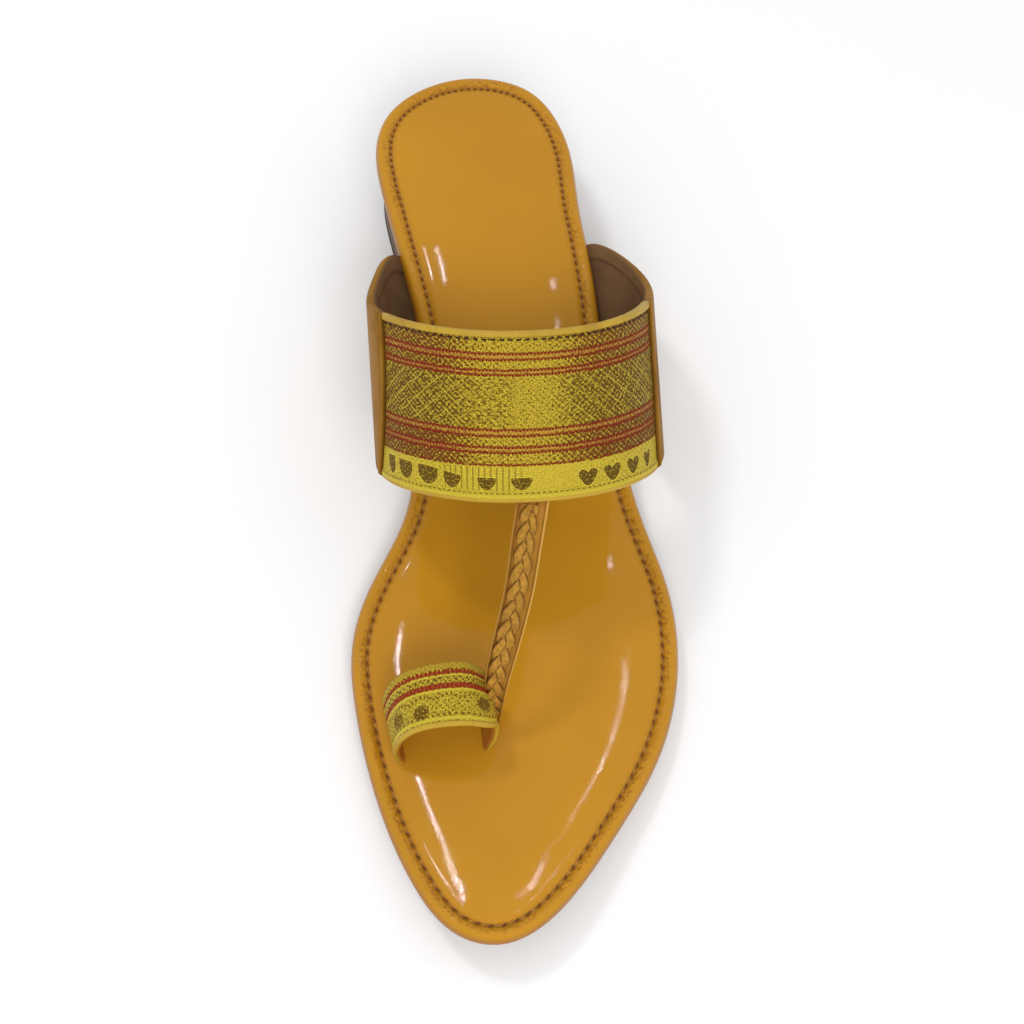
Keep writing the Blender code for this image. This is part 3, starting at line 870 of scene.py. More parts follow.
def strap_leather():
    """The strip under the plait: tan, darker towards its inner side, with a painted highlight on the crest of
    each lip, stronger on the outer one, and painted shade at the foot of each lip. Across it, a side is 4
    long.
    """
    colour, dark, lip = (colour_of(n) for n in ("strap", "strap_dark", "strap_lip_highlight"))

    def build(tree):
        _, v = surface_lengths(tree)
        height, tone = grain_of(tree, 1300.0)
        tint = mix(tree, tone * 0.5, colour, dark)
        # Darker towards the inner side.
        tint = mix(tree, v.ramp(-1.5, -3.0) * 0.7, tint, dark)
        # Painted highlight on the crest of the outer lip.
        tint = mix(tree, v.ramp(3.4, 3.6) * 0.75, tint, lip)
        # A fainter painted highlight on the crest of the inner lip.
        tint = mix(tree, v.ramp(-3.6, -3.8) * 0.25, tint, lip)
        # Painted shade in the crease at the foot of each lip.
        tint = mix(tree, v.math("ABSOLUTE").near(3.2, 0.08, 0.2) * 0.5, tint, shade(dark, 0.5))
        return finish(tint, wear_of(tree, 90.0), (0.34, 0.48), height, 0.00005)

    return make_material("Strap leather", build, specular=0.15)


def brocade_ground(tree, u, v, share):
    """Gold thread over brown in a small staggered pattern, with painted glints on the gold. Share says how
    much of the brown shows.
    """
    gold, bright, brown = (colour_of(n) for n in ("gold", "bright_gold", "brown"))
    where = put(tree, "CombineXYZ", {0: u, 1: v}).outputs[0]
    fine = cloud(tree, where, 1.7, 2.0, 0.6)
    bend = cloud(tree, where, 0.4, 1.0)
    spots = (u + bend * 2.2).wave(1.7) * (v + bend * 1.8).wave(1.5)
    dark = (spots * 0.45 + (fine - 0.5) * 2.6 + share).ramp(-0.15, 0.5)
    # Painted glints: random specks where the gold is made bright, as if catching the light.
    painted_glint = cloud(tree, where, 2.3, 1.0).ramp(0.4, 0.64)
    tint = mix(tree, painted_glint, gold, bright)
    return mix(tree, dark, tint, brown), dark, where


def cloth_finish(tree, u, v, tint, dark, raised, matt):
    """The shader's inputs for a brocade: woven, with painted shade between the threads, and shiny where the
    gold thread lies on top.
    """
    height = place_group(tree, thread_weave(), Along=u, Across=v, Pitch=WEAVE_PITCH)[0]
    # Painted shade in the hollows between the woven threads.
    tint = mix(tree, (1.0 - height) * 0.25, tint, shade(colour_of("brown"), 0.5))
    return {
        "Base Color": tint,
        "Roughness": (dark * 0.6 + matt).ramp(0.0, 1.0, 0.36, 0.7),
        "Metallic": (dark + matt).ramp(0.0, 1.0, 0.3, 0.0),
        "Height": (height + raised - dark * 1.2, 0.00009),
    }


def band_brocade():
    """The instep band's cloth, woven in zones from its back rim to its front one."""
    bright, brown, red, orange = (colour_of(n) for n in ("bright_gold", "brown", "red", "orange"))

    def build(tree):
        u, v = surface_lengths(tree)
        wobble = cloud(tree, object_place(tree), 320.0, 1.0) - 0.5
        f = v / BAND.scale + wobble * 0.005
        threads, from_crown = u.wave(BAND_THREAD), (u - CROWN_PLACE).math("ABSOLUTE")
        side = from_crown.ramp(4.0, 24.0)
        border = f.ramp(BORDER[0] - 0.004, BORDER[0] + 0.004)
        lower = f.near(0.7, 0.08, 0.03)
        # More brown shows away from the crown: partly the weave's pattern, and partly painted shade on the
        # band's sides, which catch less light than the crown.
        share = side * 0.6 - 0.24 + lower * 0.1 - border * 0.5
        tint, dark, where = brocade_ground(tree, u, v, share)
        tint = mix(tree, border * 0.4, tint, shade(bright, 1.1))
        reddish = lower.math("MAXIMUM", f.ramp(0.27, 0.25)) * (1.0 - border)
        tint = mix(tree, reddish * dark * 0.3, tint, red)

        # Short brown dashes left and right of the plain gold at the crown.
        inside = f.ramp(LATTICE[0], LATTICE[0] + 0.01) * f.ramp(LATTICE[1] - 0.01, LATTICE[1], 1.0, 0.0)
        dashes = cloud(tree, where, 1.3, 1.0, stretch=(0.55, 1.5, 1.0)).ramp(0.5, 0.6)
        dashes = dashes * (u - 6.0).math("ABSOLUTE").ramp(4.0, 9.0) * from_crown.ramp(21.0, 15.0)
        tint = mix(tree, dashes * inside * 0.7, tint, brown)

        # Diagonal lattice between the red lines. One way is broken on each side of the crown.
        lean_in = (u / LATTICE_U + v / LATTICE_V + wobble * 0.22).math("FRACT").near(0.5, 0.016, 0.03)
        lean_out = (u / LATTICE_U - v / LATTICE_V + wobble * 0.22).math("FRACT").near(0.5, 0.016, 0.03)
        gaps = cloud(tree, where, 0.22, 1.0).ramp(0.42, 0.54)
        lean_in = lean_in * (u.ramp(-6.0, 10.0) * (gaps - 1.0)) + lean_in
        lattice = lean_in.math("MAXIMUM", lean_out * u.ramp(-35.0, -26.0))
        lattice = lattice * inside * from_crown.ramp(9.0, 15.0)
        lattice = lattice * cloud(tree, where, 0.9, 1.0).ramp(0.36, 0.52, 0.35, 0.9)
        tint = mix(tree, lattice, tint, bright)

        # Red lines with a ragged thread edge, and the orange between each two.
        ragged = f + threads * 0.0026 + wobble * 0.006
        stops = [(0.0, 0.0)]
        for first, second in RED_PAIRS:
            stops += [(first - RED_HALF, 1.0), (first + RED_HALF, 0.5)]
            stops += [(second - RED_HALF, 1.0), (second + RED_HALF, 0.0)]
        stops += [(LAST_RED - RED_HALF * 0.7, 1.0), (LAST_RED + RED_HALF * 0.7, 0.0)]
        lines = graded(tree, ragged, stops)
        beads = threads.ramp(-0.8, 0.6) * (1.0 - dark * 0.4)
        tint = mix(tree, lines.near(0.5, 0.1, 0.1) * (0.12 + beads * 0.65), tint, orange)
        broken = cloud(tree, where, 0.6, 1.0).ramp(0.4, 0.5) + f.ramp(LAST_RED - 0.02, LAST_RED - 0.03)
        kept = broken.math("MAXIMUM", side.ramp(0.5, 0.3)).math("MINIMUM", 1.0)
        reds = lines.ramp(0.7, 0.8) * kept
        tint = mix(tree, reds * threads.ramp(-1.0, 1.0, 1.0, 0.72), tint, red)

        # Cups left of the crown, hearts right of it, and thin posts between.
        across = u / (2 * MOTIF_SPAN) + 0.5
        starts = [0.0] + [(a.place + b.place) / (4 * MOTIF_SPAN) + 0.5 for a, b in zip(MOTIFS, MOTIFS[1:])]
        places = [(start, m.place / (2 * MOTIF_SPAN) + 0.5) for start, m in zip(starts, MOTIFS)]
        widths = [(start, m.half / MOTIF_SPAN) for start, m in zip(starts, MOTIFS)]
        place, width = (graded(tree, across, stops) for stops in (places, widths))
        x = ((across - place) / width + 0.5).math("MAXIMUM", 0.0).math("MINIMUM", 1.0)
        y = (f - BORDER[0]) / (BORDER[1] - BORDER[0])
        wide = (x * pi).math("SINE")
        right = u.ramp(10.0, 11.0)
        middle = u.ramp(-26.0, -10.0) * (1.0 - right)
        top = 0.2 + middle * 0.22 + right * (0.24 - (x * (2 * pi)).math("SINE").math("ABSOLUTE") * 0.14)
        bottom = 0.42 + wide.math("POWER", 0.55) * (1.0 - right) * 0.48 + right * (0.06 + wide * 0.46)
        soft = (y - top).ramp(-0.06, 0.06) * (bottom - y).ramp(-0.06, 0.06) * wide.ramp(0.0, 0.2)
        motifs = soft.ramp(0.5, 0.7)
        tint = mix(tree, soft.near(0.32, 0.15, 0.1) * 0.6, tint, shade(bright, 1.2))
        speckle = cloud(tree, where, 1.9, 1.0).ramp(0.35, 0.5, 0.45, 0.95)
        tint = mix(tree, motifs * speckle, tint, shade(brown, 0.75))
        band = y.ramp(0.02, 0.06) * y.ramp(0.9, 0.95, 1.0, 0.0)
        posts = u.wave(1.6).ramp(0.55, 0.9) * u.near(-8.5, 9.0, 4.0)
        tint = mix(tree, posts * band * (1.0 - motifs) * 0.6, tint, brown)
        dots = f.near(BORDER[1] + 0.002, 0.002, 0.003) * u.wave(1.5).ramp(-0.6, 0.0)
        tint = mix(tree, dots * 0.8, tint, brown)
        cord = f.ramp(0.962, 0.968)
        tint = mix(tree, cord * 0.8, tint, bright)
        raised = lattice * 1.5 + reds * 1.2 + cord * 1.5
        return cloth_finish(tree, u, v, tint, dark, raised, reds * 0.8 + motifs * 0.5)

    return make_material("Band brocade", build, specular=0.15)


def loop_brocade():
    """The toe loop's cloth: two red lines, a speckled band between, and a wide gold field."""
    bright, brown, red = (colour_of(n) for n in ("bright_gold", "brown", "red"))

    def build(tree):
        u, v = surface_lengths(tree)
        wobble = cloud(tree, object_place(tree), 320.0, 1.0) - 0.5
        f = v / LOOP.scale + wobble * 0.012
        field = f.ramp(0.42, 0.44)
        tint, dark, where = brocade_ground(tree, u, v, 0.02 - field * 0.22)
        selvedge = f.ramp(0.1, 0.09)
        tint = mix(tree, selvedge * 0.7, tint, colour_of("binding"))
        threads = u.wave(LOOP_THREAD)
        ragged = f + threads * f.ramp(0.14, 0.13) * 0.017
        stops = [(0.0, 0.0), (0.115, 1.0), (0.178, 0.0), (0.322, 1.0), (0.408, 0.0)]
        reds = graded(tree, ragged, stops)
        tint = mix(tree, reds * threads.ramp(-1.0, 1.0, 0.8, 0.97), tint, shade(red, 1.3))
        for place, half in ((0.205, 0.008), (0.436, 0.014), (0.885, 0.022)):
            tint = mix(tree, f.near(place, half, 0.008) * 0.85, tint, bright)
        blobs = None
        for place, share in ((-17.8, 0.69), (-9.5, 0.74), (8.5, 0.63)):
            x, height = (u - place) / 2.6, (f - share) / 0.13
            blob = (x * x + height * height).ramp(1.15, 0.5)
            blobs = blob if blobs is None else blobs.math("MAXIMUM", blob)
        tint = mix(tree, blobs * cloud(tree, where, 1.5, 1.0).ramp(0.32, 0.48) * 0.9, tint, brown)
        row = u.wave(1.6).ramp(0.1, 0.6) * f.near(0.82, 0.012, 0.02)
        snake = (f - 0.53 - u.wave(7.0) * 0.03).math("ABSOLUTE").ramp(0.03, 0.012)
        snake = snake * u.wave(1.2).ramp(-0.1, 0.3)
        tint = mix(tree, row.math("MAXIMUM", snake) * 0.8, tint, brown)
        return cloth_finish(tree, u, v, tint, dark, reds * 1.2 + selvedge, reds * 0.8 + blobs * 0.5)

    return make_material("Loop brocade", build, specular=0.15)


def floor_paper():
    def build(tree):
        return {"Base Color": colour_of("floor"), "Roughness": 0.9}

    return make_material("Floor paper", build, specular=0.1)


# ---------------------------------------------------------------------- pieces


def stitch_count(inset, pitch):
    """How many stitches have passed at fine turns round the edge, which run from the heel's back."""
    half = np.linspace(0, pi / 2, 4000)
    turns = np.concatenate([half, -half[-2::-1]])
    line = outline(turns, inset)
    growth = np.interp(0.5 - line[:, 1] / LENGTH, *zip(*STITCH_GROWTH))
    step = np.diff(lengths(line)) / (pitch * (growth[1:] + growth[:-1]) / 2)
    passed = np.concatenate([[0], np.cumsum(step)])
    return turns, line, growth, passed * (round(passed[-1]) / passed[-1])


def stitches_at(first):
    """Points, ways and growths of the insole's stitches. first is where the first one lies, in stitches."""
    _, line, growth, passed = stitch_count(GROOVE.inset, size_of("stitch_pitch"))
    count = round(passed[-1])
    places = np.arange(count) + first

    def read(at):
        at = at % count
        x, y = (np.interp(at, passed, line[:, k]) for k in (0, 1))
        return np.column_stack([x, y, rim_height(y) - GROOVE.drop])

    ways = unit(read(places + 0.1) - read(places - 0.1))
    return read(places), ways, np.interp(places, passed, growth)


def sole_body(name, part, material, edge, fineness, crown=0.0, pucker=None):
    """A last-shaped slab with a smooth line through the rows of its edge. Its top rises to the crown."""
    turns = sole_turns(fineness.round)
    knots = np.array(edge)
    around = lengths(knots)
    edge = smooth(around, knots, np.linspace(0, around[-1], fineness.edge))
    (bottom_inset, thickness), (top_inset, top_drop) = edge[0], edge[-1]
    bottom, top, middle = outline(turns, bottom_inset), outline(turns, top_inset), spine(turns)
    depth = np.linalg.norm(middle - top, axis=1) / PAD_SHOULDER
    rows, across = [], []

    def add_ring(plan, drop, place):
        rows.append(np.column_stack([plan, rim_height(plan[:, 1]) - drop]))
        across.append(place)

    for share in (1.0, 0.5):
        add_ring(bottom + (middle - bottom) * share, thickness, -thickness - 10.0 * share)
    for inset, drop in edge:
        sunk = pucker(turns, inset) if pucker else 0.0
        add_ring(outline(turns, inset), drop + sunk, inset if drop < 3.0 else 3.0 - drop)
    for share in 1 - np.cos(np.linspace(0, pi / 2, fineness.top + 1)[1:]):
        lift = crown * (1 - (1 - np.minimum(1, depth * share)) ** 2)
        add_ring(top + (middle - top) * share, top_drop - lift, top_inset + 20.0 * share)
    grid = np.stack(rows, axis=1)
    make_skin(name, grid, lengths_round(grid[:, 3]), across, material, part, ring=True)


def make_insole():
    """Patent leather over the whole insole, puckered along its groove."""
    table, _, _, passed = stitch_count(GROOVE.inset, size_of("stitch_pitch"))
    outer, inner = passed[: len(passed) // 2 + 1], passed[len(passed) // 2 :]
    half = table[: len(passed) // 2 + 1]

    def pucker(turns, inset):
        """The leather sinks at each stitch and rises between two."""
        done = np.where(turns >= 0, np.interp(turns, half, outer), np.interp(turns, -half[::-1], inner))
        return PUCKER * np.cos(2 * pi * done) * hill(inset, GROOVE.inset, PUCKER_HALF)

    sole_body("insole_cover", "insole", patent_leather(), INSOLE_EDGE, INSOLE_FINENESS, PAD_CROWN, pucker)


def make_insole_stitches():
    """Dark stitches that slant a little across the groove, with light loops of thread between."""
    length, width = size_of("stitch_length"), size_of("stitch_width")
    for name, thread, first, slant, rise, size in (
        ("insole_stitches", "edge_thread", 0.0, 0.5, 0.06, (length, width, STITCH_HEIGHT)),
        ("insole_stitch_loops", "loop_thread", 0.5, 0.3, 0.1, (length * 0.5, width * 1.2, STITCH_HEIGHT)),
    ):
        points, ways, growth = stitches_at(first)
        up = np.tile((0.0, 0.0, 1.0), (len(ways), 1))
        ways = unit(ways + np.cross(up, ways) * slant)
        up = unit(np.cross(ways, np.cross(up, ways)))
        size = (size[0] * growth, *size[1:])
        make_beads(name, points + up * rise, ways, up, size, sewing_thread(thread), "insole")


def outsole_top(y):
    return rim_height(y) - INSOLE_THICKNESS - CLEARANCE


def make_outsole():
    """A flat slab of sole leather with its cut edge a little rounded."""
    top = INSOLE_THICKNESS + CLEARANCE
    bottom, half_way = top + OUTSOLE_THICKNESS, top + OUTSOLE_THICKNESS / 2
    edge = [
        Edge(OUTSOLE_INSET + inset, drop)
        for inset, drop in (
            (0.9, bottom), (0.35, bottom - 0.25), (0.05, bottom - 0.9),
            (0.0, half_way), (0.1, top + 0.3), (0.4, top),
        )
    ]
    leather = sole_leather("Sole leather", "outsole")
    sole_body("outsole_leather", "outsole", leather, edge, OUTSOLE_FINENESS)


def heel_height():
    return float(outsole_top(LENGTH / 2)) - OUTSOLE_THICKNESS - CLEARANCE


def heel_ring(inset, breast, count=120, front=24):
    """The heel from above: the outline up to the breast, then the breast's hollow front."""
    reach = np.arccos(2 * breast / LENGTH) / 2
    sides = outline(np.linspace(-reach, reach, count + 1), inset)
    parts = np.linspace(0, 1, front + 2)[1:-1, None]
    breast_row = sides[-1] + (sides[0] - sides[-1]) * parts
    breast_row[:, 1:] += BREAST_HOLLOW * (1 - (2 * parts - 1) ** 2)
    return np.vstack([sides, breast_row])


def heel_block(name, part, material, levels):
    """A stack of rings, each with its height, extra inset and how far it closes on its middle."""
    full = heel_height()
    rows, across = [], []
    for height, extra, closed in levels:
        share = height / full
        inset = HEEL_INSET_FLOOR + (HEEL_INSET_TOP - HEEL_INSET_FLOOR) * share + extra
        plan = heel_ring(inset, BREAST_FLOOR + (BREAST_TOP - BREAST_FLOOR) * share)
        plan = plan + (plan.mean(axis=0) - plan) * closed
        roof = outsole_top(plan[:, 1]) - OUTSOLE_THICKNESS - CLEARANCE
        rows.append(np.column_stack([plan, height - (full - roof) * share**3]))
        across.append(height + 20.0 * closed)
    grid = np.stack(rows, axis=1)
    make_skin(name, grid, lengths_round(grid[:, 1]), across, material, part, ring=True)


def make_heel():
    full, base = heel_height(), TOP_PIECE + CLEARANCE
    step = (full - base) / HEEL_LAYERS
    levels = [(base, 0.3, 1.0), (base, 0.3, 0.0)]
    for k in range(HEEL_LAYERS):
        low, high = base + k * step, base + (k + 1) * step
        levels += [(low + 0.12, 0.06, 0.0), (low + 0.3, 0.0, 0.0)]
        levels += [(high - 0.3, 0.0, 0.0), (high - 0.12, 0.06, 0.0)]
        if k < HEEL_LAYERS - 1:
            levels.append((high, 0.28, 0.0))
    levels += [(full, 0.1, 0.0), (full, 0.1, 1.0)]
    heel_block("heel_stack", "heel", sole_leather("Heel layers", "heel", base, step), levels)


def make_top_piece():
    levels = [(0.0, 0.35, 1.0), (0.0, 0.35, 0.0), (0.2, 0.05, 0.0), (0.5, 0.0, 0.0)]
    levels += [(TOP_PIECE - 0.4, 0.0, 0.0), (TOP_PIECE, 0.25, 0.0), (TOP_PIECE, 0.25, 1.0)]
    heel_block("top_piece_rubber", "top_piece", heel_rubber(), levels)


def make_band_cloth():
    """The brocade lies between the bindings and dips under the side panels. Its last mm are a cord."""
    cord = [0.944, 0.948, 0.956, 0.966, 0.976, 0.984, 0.988]
    shares = np.concatenate([[0.022], np.linspace(0.035, 0.94, 46), cord])
    raised = np.interp(shares, [0.0, 0.944, 0.956, 0.976, 0.988], [0.0, 0.0, 0.34, 0.34, 0.0])
    section = [(s, 0.0, h) for s, h in zip(shares, raised)]
    section += [(s, 0.0, -0.7) for s in (0.988, 0.5, 0.022)]
    turns = BAND.even(SEAM_INNER - 1.2, SEAM_OUTER + 1.2, 0.55)

    def lift(turns, height):
        sink = ease(1 - np.minimum(turns - turns[0], turns[-1] - turns) / 1.6) * 0.5
        return height - np.where(height > -0.5, sink[:, None], 0.0)

    BAND.strip("band_brocade", turns, section, band_brocade(), lift, seam_slant, follow=True)


def make_band_lining():
    """The suede under the brocade, from one end of the band to the other."""
    wall, top = -BAND_WALL, -0.75
    turns = BAND.even(-BAND.reach, 180 + BAND.reach, 1.2)
    section = [(0.0, -0.1, -1.05), (0.0, 0.9, top), (0.5, 0.0, top), (1.0, -0.9, top), (1.0, -0.7, wall)]
    section += [(share, 0.0, wall) for share in np.linspace(0.97, 0.03, 24)]
    section += [(0.0, 0.4, wall), (0.0, -0.05, -1.8)]
    BAND.strip("band_lining", turns, section, suede_lining())


def make_side_leather():
    """A panel down each side, folded in at the front and under the insole, with a bead at its seam."""
    wall, step = -BAND_WALL, SIDE_STEP
    outer = [(0.0, 0.9, step), (0.0, 2.0, step)]
    outer += [(share, 0.0, step) for share in np.linspace(0.1, 0.9, 9)]
    outer += [(1.0, -2.0, step), (1.0, -0.9, step)]
    front = [(1.0, -0.2, step - 0.3), (1.0, 0.2, -0.1), (1.0, 0.25, -1.0), (1.0, 0.1, -1.9)]
    inner = [(1.0, -0.5, wall - 0.15), (1.0, -1.3, wall - 0.12), (1.0, -1.5, wall + 0.2), (0.0, 1.0, -1.3)]
    back = [(0.0, 0.1, -1.5), (0.0, -0.22, -1.4), (0.0, -0.28, -0.6), (0.0, -0.15, 0.0)]
    back.append((0.0, 0.2, step - 0.2))
    section = rounded(outer + front + inner + back)
    material = finished_leather("Side leather", "side_leather", 0.45, 1000.0, 0.05, seam_shade=True)
    for name, seam, way, end in (
        ("side_leather_inner", SEAM_RUNS[0], -1, -BAND.reach),
        ("side_leather_outer", SEAM_RUNS[1], 1, 180 + BAND.reach),
    ):
        far = abs(BAND.run(end) - seam)
        fine, coarse = np.arange(1.1, 5.0, 0.25), np.arange(5.0, far, 1.0)
        gone = np.concatenate([np.linspace(0, SEAM_FOLD, 7), fine, coarse, [far]])
        turns = np.sort(BAND.turns_at(seam + way * gone))

        def lift(turns, height):
            gone = np.abs(BAND.run(turns) - seam)[:, None]
            fold = np.sqrt(1 - np.clip(1 - gone / SEAM_FOLD, 0, 1) ** 2)
            bead = BEAD_HEIGHT * np.sqrt(np.clip(1 - (2 * gone / BEAD_WIDTH - 1) ** 2, 0, 1))
            bead = bead - BEAD_GROOVE * hill(gone, BEAD_WIDTH + 0.2, 0.6)
            fade = ease((np.minimum(turns, 180 - turns) + BAND_FOOT_TURN + TUCK_FADE) / TUCK_FADE)[:, None]
            top = (height + bead) * fade
            top = np.where(height > 0.2, top, height)
            return np.where(height > -0.6, -0.6 + (top + 0.6) * fold, height)

        BAND.strip(name, turns, section, material, lift, seam_slant)


def make_bindings():
    """Leather rolled over the band's two rims, between the side panels."""
    wall, wide = -BAND_WALL, size_of("back_binding")
    turns = BAND.even(SEAM_INNER - 1.0, SEAM_OUTER + 1.0, 0.8)
    material = finished_leather("Binding leather", "binding", 0.38, 1500.0, 0.3)
    back = rounded([
        (0.0, wide, -0.3), (0.0, wide, 0.3), (0.0, wide - 0.3, 0.42), (0.0, 0.5, 0.4), (0.0, -0.15, 0.1),
        (0.0, -0.3, -0.5), (0.0, -0.3, -1.5), (0.0, 0.0, wall - 0.1), (0.0, 0.6, wall - 0.2),
        (0.0, 1.4, wall - 0.15), (0.0, 1.6, wall + 0.2), (0.0, 1.0, wall + 0.3), (0.0, 1.0, -0.6),
    ])
    BAND.strip("back_binding", turns, back, material, slant=seam_slant)
    front = rounded([
        (1.0, -0.75, -0.4), (1.0, -0.75, 0.1), (1.0, -0.3, 0.12), (1.0, 0.25, -0.15), (1.0, 0.35, -0.8),
        (1.0, 0.3, -1.5), (1.0, 0.0, wall - 0.1), (1.0, -0.8, wall - 0.2), (1.0, -1.8, wall - 0.15),
        (1.0, -2.0, wall + 0.2), (1.0, -1.0, wall + 0.3), (1.0, -0.9, -0.9),
    ])
    BAND.strip("front_binding", turns, front, material, slant=seam_slant)


def make_band_stitches():
    """The row of dark stitches beside the back binding."""
    pitch = size_of("band_stitch_pitch")
    places = np.arange(SEAM_RUNS[0] + 1.2, SEAM_RUNS[1] - 1.0, pitch)
    turns = BAND.turns_at(places)
    shares = (size_of("back_binding") + 0.6) / BAND.widths(turns)[:, None]
    centres, above = (BAND.at(turns, shares, height)[:, 0] for height in (0.12, 1.12))
    ways = unit(np.gradient(centres, axis=0))
    size = (pitch * BAND_STITCH_SHARE, BAND_STITCH_WIDTH, BAND_STITCH_HEIGHT)
    thread = sewing_thread("band_thread")
    make_beads("band_stitches", centres, ways, above - centres, size, thread, "upper")


def strap_line(along):
    """The middle strap at lengths along it: points, directions across and up, and widths."""
    knots = np.array(STRAP_PATH)
    places = lengths(knots[:, :3])
    row, ahead = (smooth(places, knots, along + step) for step in (0.0, 0.05))
    run = unit(ahead[:, :3] - row[:, :3])
    across = unit(np.array([1.0, 0, 0]) - run * run[:, :1])
    return row[:, :3], across, np.cross(run, across), row[:, 3:]


def strap_strip(name, along, side, height, places, material):
    """A closed strip along the strap from sideways and upward offsets."""
    point, across, up, _ = strap_line(along)
    grid = point[:, None] + across[:, None] * side[..., None] + up[:, None] * height[..., None]
    make_skin(name, grid, along, places, material, "upper")


def make_middle_strap():
    """A leather strip with a lip down each side."""
    ends = lengths(np.array(STRAP_PATH)[:, :3])
    along = np.linspace(0.0, ends[-1], 260)
    share, height = np.array([
        (-1.0, -0.35), (-0.985, 0.05), (-0.95, 0.27), (-0.9, 0.3), (-0.86, 0.12), (-0.8, 0.0), (-0.3, 0.0),
        (0.3, 0.0), (0.76, 0.0), (0.83, 0.1), (0.88, 0.32), (0.94, 0.36), (0.985, 0.1), (1.0, -0.35),
        (1.0, -1.2), (0.95, -1.55), (0.5, -1.6), (-0.5, -1.6), (-0.95, -1.55), (-1.0, -1.2),
    ]).T
    side = share * strap_line(along)[3] / 2
    height = np.broadcast_to(height, side.shape)
    strap_strip("strap_base", along, side, height, np.append(share, share[0]) * 4.0, strap_leather())


def make_plait():
    """A flat plait of three strips. Each swings from side to side and passes over, then under."""
    pitch, half, sway = size_of("plait_pitch"), size_of("strand_width") / 2, size_of("strand_sway")
    ends = lengths(np.array(STRAP_PATH)[:, :3])
    start, stop = ends[1] - 2.0, ends[STRAP_LAST_PLAIT] + 1.5
    hidden = ends[1] + 0.5
    along = np.linspace(start, stop, round((stop - start) / 0.28))
    part = (along - start) / (stop - start)
    lean = np.interp(part, [0, 0.5, 1], [0.45, 0.0, -0.4])
    size = np.interp(part, [0, 0.15, 0.6, 1], [0.86, 0.9, 1.0, 0.85])
    turn = np.linspace(0, 2 * pi, 17)[:-1]
    ring_x = np.cos(turn) * half
    ring_z = np.sign(np.sin(turn)) * np.abs(np.sin(turn)) ** 0.8 * STRAND_HALF_HEIGHT
    material = plait_leather()
    for strand in range(3):
        phase = 2 * pi * (along / (3 * pitch) + strand / 3)
        side, tall = np.sin(phase) * sway, PLAIT_HEIGHT + PLAIT_RISE * np.sin(2 * phase)
        tilt = (np.cos(phase) * 0.25 - 0.3 * np.sin(phase))[:, None]
        x = side[:, None] + ring_x * np.cos(tilt) - ring_z * np.sin(tilt)
        z = np.maximum(tall[:, None] + ring_x * np.sin(tilt) + ring_z * np.cos(tilt), PLAIT_LOWEST)
        z = z * ease((along - hidden) / 2.5)[:, None]
        x = x + lean[:, None] * (1 - (x / (sway + half)) ** 2)
        x = x * size[:, None] - PLAIT_ASIDE
        strap_strip(f"plait_strand_{strand + 1}", along, x, z, np.append(turn, 2 * pi), material)


def make_toe_loop():
    """The loop's brocade with its rounded woven selvedge, its leather lining, and a binding in front."""
    turns = LOOP.even(-LOOP.reach, 180 + LOOP.reach, 0.45)
    shares = np.linspace(0.0, 0.94, 34)
    section = [(0.0, -0.12, -0.35)] + [(s, 0.0, 0.12 if s < 0.09 else 0.0) for s in shares]
    section += [(0.955, 0.0, 0.0), (0.955, 0.0, -0.6), (0.5, 0.0, -0.6), (0.0, 0.2, -0.6)]
    LOOP.strip("loop_brocade", turns, section, loop_brocade())
    wall = -LOOP_WALL
    lining = rounded([
        (0.0, 0.1, -0.62), (0.5, 0.0, -0.62), (1.0, -0.4, -0.62), (1.0, 0.0, -0.9), (1.0, 0.0, wall + 0.2),
        (1.0, -0.4, wall), (0.75, 0.0, wall), (0.5, 0.0, wall), (0.25, 0.0, wall), (0.0, 0.4, wall),
        (0.0, -0.05, wall + 0.3),
    ])
    LOOP.strip("loop_lining", turns, lining, finished_leather("Loop lining", "loop_lining", 0.4, 1400.0))
    edge = rounded([
        (1.0, -1.1, -0.4), (1.0, -1.1, 0.2), (1.0, -0.5, 0.28), (1.0, 0.1, 0.05), (1.0, 0.25, -0.5),
        (1.0, 0.1, -0.95), (1.0, -0.6, -0.9),
    ])
    LOOP.strip("loop_binding", turns, edge, finished_leather("Binding leather", "binding"))


# ----------------------------------------------------------------------- stage

# The photograph's camera, turned to the sandal: its place in metres and its own directions.
EYE = Vector((-0.02676, -0.2287, 0.4985))
EYE_RIGHT = Vector((0.9991, 0.0124, -0.0417))
EYE_BACK = Vector((0.0428, -0.4504, 0.8918))
AIM = Vector((-0.00036, -0.0115, 0.02))
FOCAL_PIXELS = 1900.0
RENDER_PIXELS = 1024
SENSOR = 36.0

# A broad key light from the toe's side and a smaller one behind on the left make the soft shadows.
# The narrow ones light nothing: they only show as highlights in the leather.
Lamp = namedtuple("Lamp", "name place size energy highlight")
LAMPS = (
    Lamp("Key", (0.08, -0.85, 0.95), (0.6, 0.6), 6.0, False),
    Lamp("Side", (-0.42, 0.36, 1.0), (0.16, 0.16), 2.1, False),
    Lamp("Left strip", (-0.25, 0.3, 1.0), (0.006, 0.18), 0.8, True),
    Lamp("Right strip", (0.29, 0.275, 1.0), (0.05, 0.008), 0.14, True),
    Lamp("Front patch", (0.278, 0.1, 1.0), (0.035, 0.025), 0.16, True),
)
SKY = 0.74
FLOOR_HALF = 3.0


def look(place, target, up):
    """A matrix at place that looks at target."""
    back = (place - target).normalized()
    right = up.cross(back).normalized()
    return Matrix.Translation(place) @ Matrix((right, back.cross(right), back)).transposed().to_4x4()


